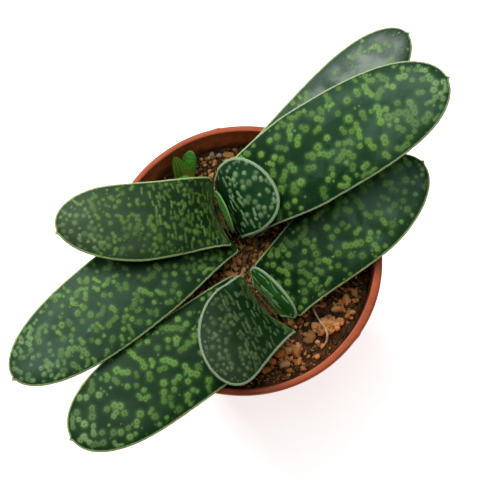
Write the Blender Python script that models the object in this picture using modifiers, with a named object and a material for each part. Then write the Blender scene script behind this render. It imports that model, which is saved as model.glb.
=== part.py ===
# A potted gasteria: two small plants with tongue-shaped leaves in two ranks, and a tiny offset,
# growing in one round moulded nursery pot. Metres, +Z up. The origin lies on the plane that the
# pot rests on, under the pot's axis.

import math
import random

import bmesh
import bpy
from mathutils import Vector, noise

# Pot: overall sizes, then the moulded shell.
POT_HEIGHT = 0.092
RIM_RADIUS = 0.0525
LIP_WIDTH = 0.0024
LIP_DEPTH = 0.0030
LIP_ROUND = 0.0006
LIP_OVERHANG = 0.0006
LIP_SLOPE = 0.0008
WALL = 0.0014
COLLAR_HEIGHT = 0.018
COLLAR_DRAFT = math.radians(5.5)
SHOULDER_STEP = 0.0016
BASE_RADIUS = 0.0376
FOOT_WIDTH = 0.0040
FOOT_ROUND = 0.0010
FLOOR_ROUND = 0.0010
CHANNEL_RISE = 0.0025
CHANNEL_OUTER = 0.0305
CHANNEL_INNER = 0.0140
CHANNEL_SLOPE = 0.0016
DRAIN_COUNT = 8
DRAIN_RADIUS = 0.0030
DRAIN_SIDES = 16
POT_STEPS = 48

# Soil: a slightly domed top, lower at the wall.
SOIL_CENTRE_HEIGHT = 0.0790
SOIL_WALL_HEIGHT = 0.0765
SOIL_CRUMB = 0.0022
SOIL_CRUMB_HEIGHT = 0.0006
SOIL_STEPS = 48
SOIL_RINGS = 20

# Clearance between neighbouring pieces, and how far a hole's cutter stands above the soil.
GAP = 0.0003
CUTTER_HEADROOM = 0.005

# Stems: short flattened columns that the leaves stand round.
STEM_HALF_WIDTH = 0.0060
STEM_FOOT = 0.0640
STEM_SIDES = 24
FIRST_PLANT = dict(centre=(-0.0069, 0.0164), facing=math.radians(24), stem_top=0.0905,
                   stem_half_thickness=0.0032)
SECOND_PLANT = dict(centre=(0.0100, -0.0167), facing=math.radians(40), stem_top=0.0875,
                    stem_half_thickness=0.0038)

# Leaves: facets round a section and along the leaf, then the margin and the small point at the tip.
LEAF_SIDES = 16
LEAF_RINGS = 18
MARGIN_HALF = 0.0005
MUCRO = 0.0010
MUCRO_SHARE = 0.006

# Leaf thickness, as shares of the leaf's own: it starts thinner at the base, swells within the
# first part of the length and thins towards the tip. The belly is split over the two faces, and
# each face has its own crown.
BASE_ROUND_SHARE = 0.04
BASE_THICKNESS = 0.58
SWELL_END = 0.35
THIN_START = 0.55
TIP_THINNING = 0.35
TIP_FALL = 0.6
UPPER_BELLY = 0.38
UPPER_CROWN = 0.8
LOWER_CROWN = 0.7
CUP_END = 0.35
SKEW_FULL = 0.5

# Each leaf starts beside its stem, at a reach along the plant's facing and a slide across it, and
# grows towards a heading. Its midrib rises steeply, bends over within the first part of its
# length to a level angle, and droops a little towards the tip. Lengths are in metres and angles
# in degrees. The width holds from the neck (a share of the full width at the base) to the
# shoulder (a share of the length), where the rounded tip starts. A skewed leaf has one margin
# longer than the other, at its tip or at its base, and a cupped base clasps the heart of its plant.
LEAVES = {
    "first_plant_leaf_left_upper": dict(
        plant=FIRST_PLANT, reach=-0.0033, slide=0.0016, height=0.0910,
        heading=192.5, turn=-4, rise=68, level=12, bend=6.0, droop=10,
        length=0.0630, width=0.0310, thickness=0.0060,
        neck=0.89, shoulder=0.59, roundness=1.75, skew=-0.41, base_skew=-0.14, cup=0.32),
    "first_plant_leaf_left_lower": dict(
        plant=FIRST_PLANT, reach=-0.0046, slide=-0.0002, height=0.0840,
        heading=222, turn=-3, rise=52, level=8, bend=7.0, droop=8,
        length=0.0987, width=0.0352, thickness=0.0064,
        neck=0.85, shoulder=0.42, roundness=2.7, skew=-0.11, cup=0.15),
    "first_plant_leaf_right_inner": dict(
        plant=FIRST_PLANT, reach=0.0028, slide=0.0009, height=0.0910,
        heading=27, turn=9, rise=80, level=25, bend=2.5, droop=0,
        length=0.0262, width=0.0306, thickness=0.0044,
        neck=0.80, shoulder=0.43, roundness=2.7, skew=-0.08, cup=0.08),
    "first_plant_leaf_right_upper": dict(
        plant=FIRST_PLANT, reach=0.0044, slide=0.0015, height=0.0880,
        heading=27, turn=0, rise=60, level=14, bend=6.0, droop=10,
        length=0.0977, width=0.0378, thickness=0.0064,
        neck=0.74, shoulder=0.41, roundness=3.3, skew=0.06, cup=0.15),
    "first_plant_leaf_right_lower": dict(
        plant=FIRST_PLANT, reach=0.0045, slide=0.0002, height=0.0822,
        heading=44, turn=1, rise=54, level=8, bend=6.5, droop=9,
        length=0.0990, width=0.0293, thickness=0.0054,
        neck=0.92, shoulder=0.59, roundness=2.3, skew=0.19, cup=0.15),
    "first_plant_leaf_centre": dict(
        plant=FIRST_PLANT, reach=0.0003, slide=0.0000, height=0.0909,
        heading=24, turn=0, rise=93, level=66, bend=0.9, droop=0,
        length=0.0122, width=0.0176, thickness=0.0015,
        neck=0.90, shoulder=0.50, roundness=2.0, skew=0.0, cup=0.0),
    "second_plant_leaf_left_inner": dict(
        plant=SECOND_PLANT, reach=-0.0044, slide=-0.0008, height=0.0880,
        heading=222, turn=20, rise=75, level=18, bend=4.0, droop=8,
        length=0.0362, width=0.0325, thickness=0.0052,
        neck=0.94, shoulder=0.44, roundness=2.3, skew=0.48, cup=0.30),
    "second_plant_leaf_left_lower": dict(
        plant=SECOND_PLANT, reach=-0.0048, slide=0.0006, height=0.0830,
        heading=216.6, turn=-1, rise=52, level=8, bend=6.5, droop=9,
        length=0.0875, width=0.0344, thickness=0.0058,
        neck=0.97, shoulder=0.53, roundness=2.7, skew=0.02, cup=0.15),
    "second_plant_leaf_right_inner": dict(
        plant=SECOND_PLANT, reach=0.0002, slide=0.0005, height=0.0880,
        heading=42, turn=0, rise=72, level=56, bend=2.0, droop=0,
        length=0.0127, width=0.0255, thickness=0.0022,
        neck=0.66, shoulder=0.50, roundness=2.5, skew=0.0, cup=0.10),
    "second_plant_leaf_right_lower": dict(
        plant=SECOND_PLANT, reach=0.0050, slide=0.0015, height=0.0830,
        heading=41, turn=-2, rise=52, level=8, bend=6.5, droop=9,
        length=0.0762, width=0.0352, thickness=0.0056,
        neck=0.76, shoulder=0.58, roundness=1.85, skew=-0.05, cup=0.15),
}

# Offset: two leaflets on one short foot, beside the wall. A leaflet starts at a reach from the
# foot's axis.
OFFSET_PLACE = (-0.0238, 0.0358)
OFFSET_FOOT = 0.0700
OFFSET_FOOT_TOP = 0.0800
OFFSET_FOOT_RADIUS = 0.0026
OFFSET_FOOT_TAPER = 0.9
OFFSET_FOOT_SIDES = 14
LEAFLET_HEIGHT = 0.0780
LEAFLET_SIDES = 12
LEAFLETS = [
    dict(reach=0.0010, heading=70, turn=0, rise=72, level=42, bend=2.0, droop=0,
         length=0.0138, width=0.0066, thickness=0.0022,
         neck=0.92, shoulder=0.45, roundness=2.2, skew=0.0, cup=0.15),
    dict(reach=-0.0008, heading=112, turn=0, rise=74, level=52, bend=2.0, droop=0,
         length=0.0120, width=0.0060, thickness=0.0021,
         neck=1.0, shoulder=0.30, roundness=1.6, skew=0.0, cup=0.15),
]

# Clay lumps: one cluster of baked granules, seated on a level patch of the soil. Each granule
# has a place beside the cluster's own, a height above the seat and a radius.
LUMPS_SEED = 7
LUMPS_PLACE = (0.0320, -0.0245)
LUMPS_SEAT_RADIUS = 0.0090
LUMPS_SEAT_HEIGHT = 0.0770
SEAT_LEVEL_SHARE = 0.75
SEAT_BLEND_SHARE = 0.5
LUMP_ROUGHNESS = (0.86, 1.08)
LUMPS = [
    (-0.0040, -0.0006, 0.0022, 0.0023),
    (-0.0024, -0.0022, 0.0018, 0.0019),
    (-0.0009, 0.0010, 0.0026, 0.0024),
    (0.0005, -0.0018, 0.0020, 0.0022),
    (0.0018, 0.0013, 0.0024, 0.0022),
    (0.0033, -0.0004, 0.0022, 0.0021),
    (0.0048, 0.0015, 0.0019, 0.0018),
    (0.0002, 0.0030, 0.0014, 0.0015),
]

# Root fibre: a dry root that crosses over the lumps.
FIBRE_RADIUS = 0.0004
FIBRE_ROUTE = [
    (0.0302, -0.0168, 0.0782),
    (0.0282, -0.0167, 0.0786),
    (0.0268, -0.0176, 0.0795),
    (0.0273, -0.0196, 0.0808),
    (0.0284, -0.0220, 0.0821),
    (0.0298, -0.0243, 0.0830),
    (0.0314, -0.0266, 0.0826),
    (0.0320, -0.0290, 0.0816),
    (0.0314, -0.0312, 0.0792),
    (0.0296, -0.0334, 0.0778),
]


def clear_scene():
    for item in list(bpy.data.objects):
        bpy.data.objects.remove(item, do_unlink=True)


def new_collection(name):
    collection = bpy.data.collections.new(name)
    bpy.context.scene.collection.children.link(collection)
    return collection


def material(name, colour, roughness):
    finish = bpy.data.materials.new(name)
    finish.use_nodes = True
    shader = finish.node_tree.nodes["Principled BSDF"]
    shader.inputs["Base Color"].default_value = (*colour, 1.0)
    shader.inputs["Roughness"].default_value = roughness
    shader.inputs["Metallic"].default_value = 0.0
    return finish


def mesh_object(name, form, collection, finish=None, smooth_angle=math.radians(40)):
    mesh = bpy.data.meshes.new(name)
    form.to_mesh(mesh)
    form.free()
    mesh.shade_smooth()
    mesh.set_sharp_from_angle(angle=smooth_angle)
    item = bpy.data.objects.new(name, mesh)
    collection.objects.link(item)
    if finish is not None:
        mesh.materials.append(finish)
    return item


def ease(share):
    share = min(max(share, 0.0), 1.0)
    return share * share * (3.0 - 2.0 * share)


# Pot

def inner_collar_radius(height):
    below_lip = POT_HEIGHT - LIP_DEPTH - height
    return RIM_RADIUS - LIP_OVERHANG - WALL - below_lip * math.tan(COLLAR_DRAFT)


def shoulder_heights():
    top = POT_HEIGHT - COLLAR_HEIGHT
    return top, top - SHOULDER_STEP


def inner_wall_radius(height):
    top, low = shoulder_heights()
    wall_top = inner_collar_radius(top) - SHOULDER_STEP
    share = (height - WALL) / (low - WALL)
    foot = BASE_RADIUS - WALL
    return foot + (wall_top - foot) * share


def pot_profile():
    top, low = shoulder_heights()
    floor = WALL
    raised = CHANNEL_RISE
    lip_inner = RIM_RADIUS - LIP_WIDTH
    below_lip = POT_HEIGHT - LIP_DEPTH
    inner = [
        (0.0, floor),
        (CHANNEL_INNER - CHANNEL_SLOPE, floor),
        (CHANNEL_INNER, floor + raised),
        (CHANNEL_OUTER, floor + raised),
        (CHANNEL_OUTER + CHANNEL_SLOPE, floor),
        (inner_wall_radius(floor) - FLOOR_ROUND, floor),
        (inner_wall_radius(floor + FLOOR_ROUND), floor + FLOOR_ROUND),
        (inner_wall_radius(low), low),
        (inner_collar_radius(top), top),
        (inner_collar_radius(below_lip), below_lip),
        (lip_inner, below_lip + LIP_SLOPE),
        (lip_inner, POT_HEIGHT - LIP_ROUND),
        (lip_inner + LIP_ROUND, POT_HEIGHT),
    ]
    outer = [
        (RIM_RADIUS - LIP_ROUND, POT_HEIGHT),
        (RIM_RADIUS, POT_HEIGHT - LIP_ROUND),
        (RIM_RADIUS, below_lip + LIP_SLOPE / 2),
        (inner_collar_radius(below_lip) + WALL, below_lip),
        (inner_collar_radius(top) + WALL, top),
        (inner_wall_radius(low) + WALL, low),
        (BASE_RADIUS, FOOT_ROUND),
        (BASE_RADIUS - FOOT_ROUND, 0.0),
        (BASE_RADIUS - FOOT_WIDTH, 0.0),
        (CHANNEL_OUTER + CHANNEL_SLOPE / 2, raised),
        (CHANNEL_INNER + WALL, raised),
        (CHANNEL_INNER + WALL - CHANNEL_SLOPE, 0.0),
        (0.0, 0.0),
    ]
    return inner + outer


def turned(name, profile, steps, collection, finish):
    form = bmesh.new()
    points = [form.verts.new((radius, 0.0, height)) for radius, height in profile]
    for start, end in zip(points, points[1:]):
        form.edges.new((start, end))
    item = mesh_object(name, form, collection, finish)
    screw = item.modifiers.new("Turn", "SCREW")
    screw.steps = steps
    screw.render_steps = steps
    screw.use_merge_vertices = True
    screw.merge_threshold = 0.00005
    screw.use_smooth_shade = True
    return item


def cut(target, cutter):
    cutter.hide_render = True
    cutter.display_type = "WIRE"
    difference = target.modifiers.new("Cut " + cutter.name, "BOOLEAN")
    difference.operation = "DIFFERENCE"
    difference.solver = "EXACT"
    difference.object = cutter


def make_pot(collection, cutters):
    finish = material("terracotta_plastic", (0.46, 0.13, 0.06), 0.45)
    pot = turned("pot", pot_profile(), POT_STEPS, collection, finish)
    ring_radius = (CHANNEL_OUTER + CHANNEL_INNER) / 2
    drains = bmesh.new()
    for index in range(DRAIN_COUNT):
        angle = 2.0 * math.pi * (index + 0.5) / DRAIN_COUNT
        made = bmesh.ops.create_cone(
            drains, cap_ends=True, segments=DRAIN_SIDES, radius1=DRAIN_RADIUS,
            radius2=DRAIN_RADIUS, depth=4.0 * CHANNEL_RISE)
        place = Vector((math.cos(angle), math.sin(angle), 0.0)) * ring_radius
        place.z = CHANNEL_RISE
        bmesh.ops.translate(drains, verts=made["verts"], vec=place)
    cut(pot, mesh_object("drain_cutter", drains, cutters))


# Soil

def soil_height(x, y):
    radius = math.hypot(x, y)
    share = radius / inner_collar_radius(SOIL_WALL_HEIGHT)
    level = SOIL_CENTRE_HEIGHT + (SOIL_WALL_HEIGHT - SOIL_CENTRE_HEIGHT) * share * share
    crumb = noise.noise(Vector((x, y, 0.0)) / SOIL_CRUMB) * SOIL_CRUMB_HEIGHT
    seat = math.hypot(x - LUMPS_PLACE[0], y - LUMPS_PLACE[1]) / LUMPS_SEAT_RADIUS
    seat_share = 1.0 - ease((seat - SEAT_LEVEL_SHARE) / SEAT_BLEND_SHARE)
    return (level + crumb) * (1.0 - seat_share) + LUMPS_SEAT_HEIGHT * seat_share


def soil_side():
    top, low = shoulder_heights()
    floor = WALL + CHANNEL_RISE + GAP
    return [
        (inner_collar_radius(SOIL_WALL_HEIGHT) - GAP, SOIL_WALL_HEIGHT),
        (inner_collar_radius(top) - GAP, top + GAP),
        (inner_wall_radius(low) - GAP, low + GAP / 2),
        (inner_wall_radius(floor + FLOOR_ROUND) - GAP, floor + FLOOR_ROUND),
        (inner_wall_radius(floor) - FLOOR_ROUND, floor),
        (0.0, floor),
    ]


def make_soil(collection):
    finish = material("peat_mix", (0.10, 0.05, 0.03), 0.95)
    side = soil_side()
    rings = SOIL_RINGS + len(side)
    form = bmesh.new()
    bmesh.ops.create_uvsphere(form, u_segments=SOIL_STEPS, v_segments=rings - 1, radius=1.0)
    for vert in form.verts:
        ring = round(math.acos(max(-1.0, min(1.0, vert.co.z))) / math.pi * (rings - 1))
        angle = math.atan2(vert.co.y, vert.co.x)
        if ring < SOIL_RINGS:
            radius = side[0][0] * ring / SOIL_RINGS
            x, y = radius * math.cos(angle), radius * math.sin(angle)
            vert.co = (x, y, soil_height(x, y))
        else:
            radius, height = side[ring - SOIL_RINGS]
            vert.co = (radius * math.cos(angle), radius * math.sin(angle), height)
    return mesh_object("soil", form, collection, finish)


def oval_column(name, centre, facing, half_thickness, half_width, low, high, collection, finish=None):
    form = bmesh.new()
    bmesh.ops.create_cone(
        form, cap_ends=True, segments=STEM_SIDES, radius1=1.0, radius2=1.0, depth=high - low)
    for vert in form.verts:
        across, along, height = vert.co
        x = across * half_thickness
        y = along * half_width
        vert.co.x = centre[0] + x * math.cos(facing) - y * math.sin(facing)
        vert.co.y = centre[1] + x * math.sin(facing) + y * math.cos(facing)
        vert.co.z = height + (low + high) / 2
    return mesh_object(name, form, collection, finish)


def make_stem(name, plant, collection, cutters, soil):
    finish = material(name + "_tissue", (0.42, 0.38, 0.20), 0.7)
    size = (plant["stem_half_thickness"], STEM_HALF_WIDTH)
    oval_column(name, plant["centre"], plant["facing"], *size, STEM_FOOT, plant["stem_top"],
                collection, finish)
    hole = oval_column(name + "_hole", plant["centre"], plant["facing"], size[0] + GAP,
                       size[1] + GAP, STEM_FOOT - GAP, SOIL_CENTRE_HEIGHT + CUTTER_HEADROOM,
                       cutters)
    cut(soil, hole)


# Leaves

def midrib(leaf, base, count=120):
    # Points, directions and sides along the leaf, at even steps of its length.
    step = leaf["length"] / count
    point = Vector(base)
    rows = []
    for index in range(count + 1):
        share = index / count
        heading = math.radians(leaf["heading"] + leaf["turn"] * share)
        fall = (leaf["rise"] - leaf["level"]) * math.exp(-leaf["bend"] * share)
        rise = math.radians(leaf["level"] + fall - leaf["droop"] * share * share)
        direction = Vector((math.cos(rise) * math.cos(heading),
                            math.cos(rise) * math.sin(heading),
                            math.sin(rise)))
        side = Vector((-math.sin(heading), math.cos(heading), 0.0))
        if rows:
            point = point + (rows[-1][1] + direction) * (step / 2)
        rows.append((point, direction, side))
    return rows


def tip_share(leaf, share):
    past = min(max((share - leaf["shoulder"]) / (1.0 - leaf["shoulder"]), 0.0), 1.0)
    return math.sqrt(max(0.0, 1.0 - past ** leaf["roundness"]))


def base_share(share):
    # The base end is a rounded stump within the first few hundredths of the length.
    near = min(max(share / BASE_ROUND_SHARE, 0.0), 1.0)
    return math.sqrt(max(0.0, 1.0 - (1.0 - near) ** 2))


def half_width(leaf, share):
    neck = leaf["neck"] + (1.0 - leaf["neck"]) * ease(share / leaf["shoulder"])
    return leaf["width"] / 2 * neck * tip_share(leaf, share) * base_share(share)


def thickness_at(leaf, share):
    swell = BASE_THICKNESS + (1.0 - BASE_THICKNESS) * ease(share / SWELL_END)
    thin = 1.0 - TIP_THINNING * ease((share - THIN_START) / (1.0 - THIN_START))
    ends = tip_share(leaf, share) ** TIP_FALL * base_share(share)
    return leaf["thickness"] * swell * thin * ends


def leaf_point(leaf, rows, share, angle):
    place = share * (len(rows) - 1)
    index = min(int(place), len(rows) - 2)
    blend = place - index
    point = rows[index][0].lerp(rows[index + 1][0], blend)
    direction = rows[index][1].lerp(rows[index + 1][1], blend).normalized()
    side = rows[index][2].lerp(rows[index + 1][2], blend).normalized()
    normal = direction.cross(side)
    across = math.cos(angle)
    height = math.sin(angle)
    half = half_width(leaf, share)
    depth = thickness_at(leaf, share)
    margin = min(MARGIN_HALF, depth / 2)
    belly = max(depth - 2.0 * margin, 0.0)
    lens = 1.0 - across * across
    if height >= 0.0:
        lift = margin * height + UPPER_BELLY * belly * lens ** UPPER_CROWN
    else:
        lift = margin * height - (1.0 - UPPER_BELLY) * belly * lens ** LOWER_CROWN
    cup = leaf["cup"] * half * across * across * (1.0 - ease(share / CUP_END))
    skew = leaf["skew"] * ease(share / SKEW_FULL)
    skew += leaf.get("base_skew", 0.0) * (1.0 - ease(share / SKEW_FULL))
    sharpen = MUCRO * max(0.0, 1.0 - (1.0 - share) / MUCRO_SHARE)
    return (point + side * (half * across) + normal * (lift + cup)
            + direction * (skew * half * across + sharpen))


def leaf_form(leaf, base, sides, rings):
    form = bmesh.new()
    bmesh.ops.create_uvsphere(form, u_segments=sides, v_segments=rings, radius=1.0)
    rows = midrib(leaf, base)
    for vert in form.verts:
        share = min(max((1.0 + vert.co.z) / 2, 0.0), 1.0)
        angle = math.atan2(vert.co.y, vert.co.x)
        if share < 1e-6 or share > 1.0 - 1e-6:
            angle = 0.0
        vert.co = leaf_point(leaf, rows, share, angle)
    return form


def leaf_base(leaf):
    centre = leaf["plant"]["centre"]
    facing = leaf["plant"]["facing"]
    along, across = leaf["reach"], leaf["slide"]
    return (centre[0] + along * math.cos(facing) - across * math.sin(facing),
            centre[1] + along * math.sin(facing) + across * math.cos(facing),
            leaf["height"])


def make_leaf(name, leaf, collection):
    finish = material(name + "_skin", (0.03, 0.10, 0.045), 0.4)
    form = leaf_form(leaf, leaf_base(leaf), LEAF_SIDES, LEAF_RINGS)
    mesh_object(name, form, collection, finish)


# Offset

def united(name, forms, collection, cutters, finish):
    # One closed body from overlapping forms, by a union over a collection.
    group = bpy.data.collections.new(name + "_forms")
    cutters.children.link(group)
    first = mesh_object(name, forms[0], collection, finish)
    for index, form in enumerate(forms[1:]):
        mesh_object(f"{name}_form_{index}", form, group)
    union = first.modifiers.new("Union", "BOOLEAN")
    union.operation = "UNION"
    union.solver = "EXACT"
    union.operand_type = "COLLECTION"
    union.collection = group
    evaluated = first.evaluated_get(bpy.context.evaluated_depsgraph_get())
    joined = bpy.data.meshes.new_from_object(evaluated)
    first.modifiers.clear()
    first.data = joined
    for item in list(group.objects):
        bpy.data.objects.remove(item, do_unlink=True)
    bpy.data.collections.remove(group)


def make_offset(collection, cutters, soil):
    finish = material("offset_skin", (0.10, 0.30, 0.05), 0.4)
    foot = bmesh.new()
    bmesh.ops.create_cone(
        foot, cap_ends=True, segments=OFFSET_FOOT_SIDES, radius1=OFFSET_FOOT_RADIUS,
        radius2=OFFSET_FOOT_RADIUS * OFFSET_FOOT_TAPER, depth=OFFSET_FOOT_TOP - OFFSET_FOOT)
    centre = Vector((*OFFSET_PLACE, (OFFSET_FOOT_TOP + OFFSET_FOOT) / 2))
    bmesh.ops.translate(foot, verts=foot.verts, vec=centre)
    forms = [foot]
    for leaflet in LEAFLETS:
        base = (OFFSET_PLACE[0] + leaflet["reach"], OFFSET_PLACE[1], LEAFLET_HEIGHT)
        forms.append(leaf_form(leaflet, base, LEAFLET_SIDES, LEAFLET_SIDES))
    united("offset", forms, collection, cutters, finish)
    hole = oval_column("offset_hole", OFFSET_PLACE, 0.0, OFFSET_FOOT_RADIUS + GAP,
                       OFFSET_FOOT_RADIUS + GAP, OFFSET_FOOT - GAP,
                       SOIL_CENTRE_HEIGHT + CUTTER_HEADROOM, cutters)
    cut(soil, hole)


# Lumps and fibre

def lump_form(rng, place, radius):
    form = bmesh.new()
    bmesh.ops.create_icosphere(form, subdivisions=2, radius=radius)
    floor = LUMPS_SEAT_HEIGHT + GAP
    for vert in form.verts:
        vert.co *= rng.uniform(*LUMP_ROUGHNESS)
        vert.co += Vector((LUMPS_PLACE[0] + place[0], LUMPS_PLACE[1] + place[1],
                           LUMPS_SEAT_HEIGHT + place[2]))
        vert.co.z = max(vert.co.z, floor)
    bmesh.ops.remove_doubles(form, verts=form.verts, dist=0.00002)
    return form


def make_lumps(collection, cutters):
    finish = material("baked_clay", (0.62, 0.30, 0.12), 0.9)
    rng = random.Random(LUMPS_SEED)
    forms = [lump_form(rng, lump[:3], lump[3]) for lump in LUMPS]
    united("clay_lumps", forms, collection, cutters, finish)


def make_fibre(collection):
    curve = bpy.data.curves.new("root_fibre_route", "CURVE")
    curve.dimensions = "3D"
    curve.bevel_depth = FIBRE_RADIUS
    curve.bevel_resolution = 1
    curve.use_fill_caps = True
    spline = curve.splines.new("POLY")
    spline.points.add(len(FIBRE_ROUTE) - 1)
    for point, place in zip(spline.points, FIBRE_ROUTE):
        point.co = (*place, 1.0)
    fibre = bpy.data.objects.new("root_fibre", curve)
    collection.objects.link(fibre)
    curve.materials.append(material("dry_root", (0.62, 0.52, 0.36), 0.8))


def main():
    clear_scene()
    parts = new_collection("gasteria")
    cutters = new_collection("cutters")
    make_pot(parts, cutters)
    soil = make_soil(parts)
    make_stem("first_plant_stem", FIRST_PLANT, parts, cutters, soil)
    make_stem("second_plant_stem", SECOND_PLANT, parts, cutters, soil)
    for name, leaf in LEAVES.items():
        make_leaf(name, leaf, parts)
    make_offset(parts, cutters, soil)
    make_lumps(parts, cutters)
    make_fibre(parts)


main()
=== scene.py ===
# A young gasteria in a nursery pot: two plants with tongue leaves in two ranks, and a tiny pup.
import math
import random
from functools import reduce

import bmesh
import bpy
from mathutils import Matrix, Vector, kdtree, noise


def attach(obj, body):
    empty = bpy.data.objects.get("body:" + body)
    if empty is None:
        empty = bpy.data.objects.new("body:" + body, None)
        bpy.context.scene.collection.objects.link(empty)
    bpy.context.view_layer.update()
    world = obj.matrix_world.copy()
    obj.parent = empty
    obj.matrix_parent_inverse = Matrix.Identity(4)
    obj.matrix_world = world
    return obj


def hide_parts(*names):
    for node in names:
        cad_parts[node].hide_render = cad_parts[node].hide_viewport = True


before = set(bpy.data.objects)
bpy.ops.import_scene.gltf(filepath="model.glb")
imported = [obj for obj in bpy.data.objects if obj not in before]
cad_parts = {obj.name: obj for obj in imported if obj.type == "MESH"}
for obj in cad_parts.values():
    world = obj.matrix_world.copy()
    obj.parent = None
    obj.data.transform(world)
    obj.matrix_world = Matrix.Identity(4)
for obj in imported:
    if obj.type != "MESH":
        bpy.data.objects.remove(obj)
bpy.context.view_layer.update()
mm = 0.001


# Small helpers for objects and meshes

def linked(name, data):
    holder = bpy.data.objects.new(name, data)
    bpy.context.scene.collection.objects.link(holder)
    return holder


def meshFrom(name, form):
    mesh = bpy.data.meshes.new(name)
    form.to_mesh(mesh)
    form.free()
    return mesh


def addObject(name, data, finish, slot, *nodes):
    piece = linked(name, data)
    data.materials.clear()
    data.materials.append(finish)
    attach(piece, "root")
    if nodes:
        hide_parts(*nodes)
    return piece


def addPiece(name, form, finish, slot, *nodes, sharp=None):
    mesh = meshFrom(name, form)
    mesh.shade_smooth()
    if sharp is not None:
        mesh.set_sharp_from_angle(angle=math.radians(sharp))
    return addObject(name, mesh, finish, slot, *nodes)


def joined(forms):
    whole = bmesh.new()
    for form in forms:
        part = meshFrom("part", form)
        whole.from_mesh(part)
        bpy.data.meshes.remove(part)
    return whole


def finalMesh(piece):
    graph = bpy.context.evaluated_depsgraph_get()
    return bpy.data.meshes.new_from_object(piece.evaluated_get(graph))


def settle(piece):
    # the piece's modifiers, applied to its mesh
    made = finalMesh(piece)
    piece.modifiers.clear()
    piece.data = made


def combine(piece, operation, form):
    # the form cut out of the piece, or joined to it
    other = linked("other", meshFrom("other", form))
    change = piece.modifiers.new("change", "BOOLEAN")
    change.operation, change.solver, change.object = operation, "EXACT", other
    settle(piece)
    bpy.data.objects.remove(other, do_unlink=True)


def addPeg(form, segments, radius, depth, place, top=1.0, shape=None):
    # an upright cylinder about its middle; top is its upper radius as a share of the lower one
    verts = bmesh.ops.create_cone(form, cap_ends=True, segments=segments, radius1=radius,
                                  radius2=radius * top, depth=depth)["verts"]
    if shape is not None:
        bmesh.ops.transform(form, verts=verts, matrix=shape.to_4x4())
    bmesh.ops.translate(form, verts=verts, vec=place)


def newTube(name, roundness):
    tube = bpy.data.curves.new(name, "CURVE")
    tube.dimensions = "3D"
    tube.bevel_depth = 1.0  # a point's radius is then the tube's own
    tube.bevel_resolution = roundness
    tube.use_fill_caps = True
    return tube


def addStrand(tube, count):
    spline = tube.splines.new("POLY")
    spline.points.add(count - 1)
    return spline.points


def tubeMesh(tube):
    holder = linked(tube.name, tube)
    made = finalMesh(holder)
    bpy.data.objects.remove(holder, do_unlink=True)
    bpy.data.curves.remove(tube)
    return made


def treeOf(places):
    tree = kdtree.KDTree(max(1, len(places)))
    for index, place in enumerate(places):
        tree.insert(place, index)
    tree.balance()
    return tree


def limited(share):
    return min(max(share, 0.0), 1.0)


def ease(share):
    share = limited(share)
    return share * share * (3.0 - 2.0 * share)


# Camera, looking almost straight down

camera = {"eye": (0.0252, -0.0941, 0.5313), "aim": (-0.00073, 0.00626, 0.09338), "lens": 88.7,
          "sensor": 36.0, "clipStart": 0.01}


def placeCamera():
    lens = bpy.data.cameras.new("camera")
    lens.lens = camera["lens"]
    lens.sensor_width = camera["sensor"]
    lens.clip_start = camera["clipStart"]
    eye = Vector(camera["eye"])
    back = (eye - Vector(camera["aim"])).normalized()
    right = Vector((0.0, 1.0, 0.0)).cross(back).normalized()
    turn = Matrix((right, back.cross(right), back)).transposed()
    holder = linked("camera", lens)
    holder.matrix_world = Matrix.Translation(eye) @ turn.to_4x4()
    bpy.context.scene.camera = holder


placeCamera()
print("camera placed")


# Small helpers for materials: each lays nodes in the tree of the sockets it is given

def feed(socket, value):
    if isinstance(value, bpy.types.NodeSocket):
        socket.id_data.links.new(value, socket)
    elif isinstance(value, tuple) and len(value) < len(socket.default_value):
        socket.default_value = (*value, 1.0)
    else:
        socket.default_value = value


def feedAll(node, values):
    for label, value in values.items():
        feed(node.inputs[label], value)
    return node


def addNode(tree, kind, inputs, **settings):
    node = tree.nodes.new("ShaderNode" + kind)
    for name, setting in settings.items():
        setattr(node, name, setting)
    return feedAll(node, inputs)


def calc(operation, *values, clamp=False):
    tree = next(value.id_data for value in values if isinstance(value, bpy.types.NodeSocket))
    return addNode(tree, "Math", dict(enumerate(values)), operation=operation, use_clamp=clamp).outputs[0]


def product(*values):
    return reduce(lambda first, second: calc("MULTIPLY", first, second), values)


def total(*values):
    return reduce(lambda first, second: calc("ADD", first, second), values)


def scaled(value, factor, shift):
    return calc("MULTIPLY_ADD", value, factor, shift)


def between(value, start, end, low=0.0, high=1.0):
    # a smooth change from low to high, as the value goes from start to end
    limits = dict(enumerate((value, start, end, low, high)))
    return addNode(value.id_data, "MapRange", limits, interpolation_type="SMOOTHSTEP").outputs[0]


def mixed(share, first, second, blend="MIX"):
    return addNode(share.id_data, "Mix", {0: share, 6: first, 7: second}, data_type="RGBA",
                   blend_type=blend).outputs[2]


def cloud(place, size, detail=2.0, warp=0.0):
    return addNode(place.id_data, "TexNoise", {
        "Vector": place, "Scale": 1.0 / size, "Detail": detail, "Distortion": warp}).outputs["Fac"]


def cells(place, size):
    return addNode(place.id_data, "TexVoronoi", {"Vector": place, "Scale": 1.0 / size}).outputs["Distance"]


def ramped(value, stops):
    node = addNode(value.id_data, "ValToRGB", {0: value})
    band = node.color_ramp
    while len(band.elements) < len(stops):
        band.elements.new(0.5)
    for element, (position, colour) in zip(band.elements, stops):
        element.position = position
        element.color = (*colour, 1.0)
    return node.outputs[0]


def attribute(tree, name, output="Fac"):
    return addNode(tree, "Attribute", {}, attribute_name=name).outputs[output]


def objectPlace(tree, size=mm):
    # Object coordinates, counted in the given size
    source = addNode(tree, "TexCoord", {}).outputs["Object"]
    return addNode(tree, "VectorMath", {0: source, "Scale": 1.0 / size}, operation="SCALE").outputs[0]


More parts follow.
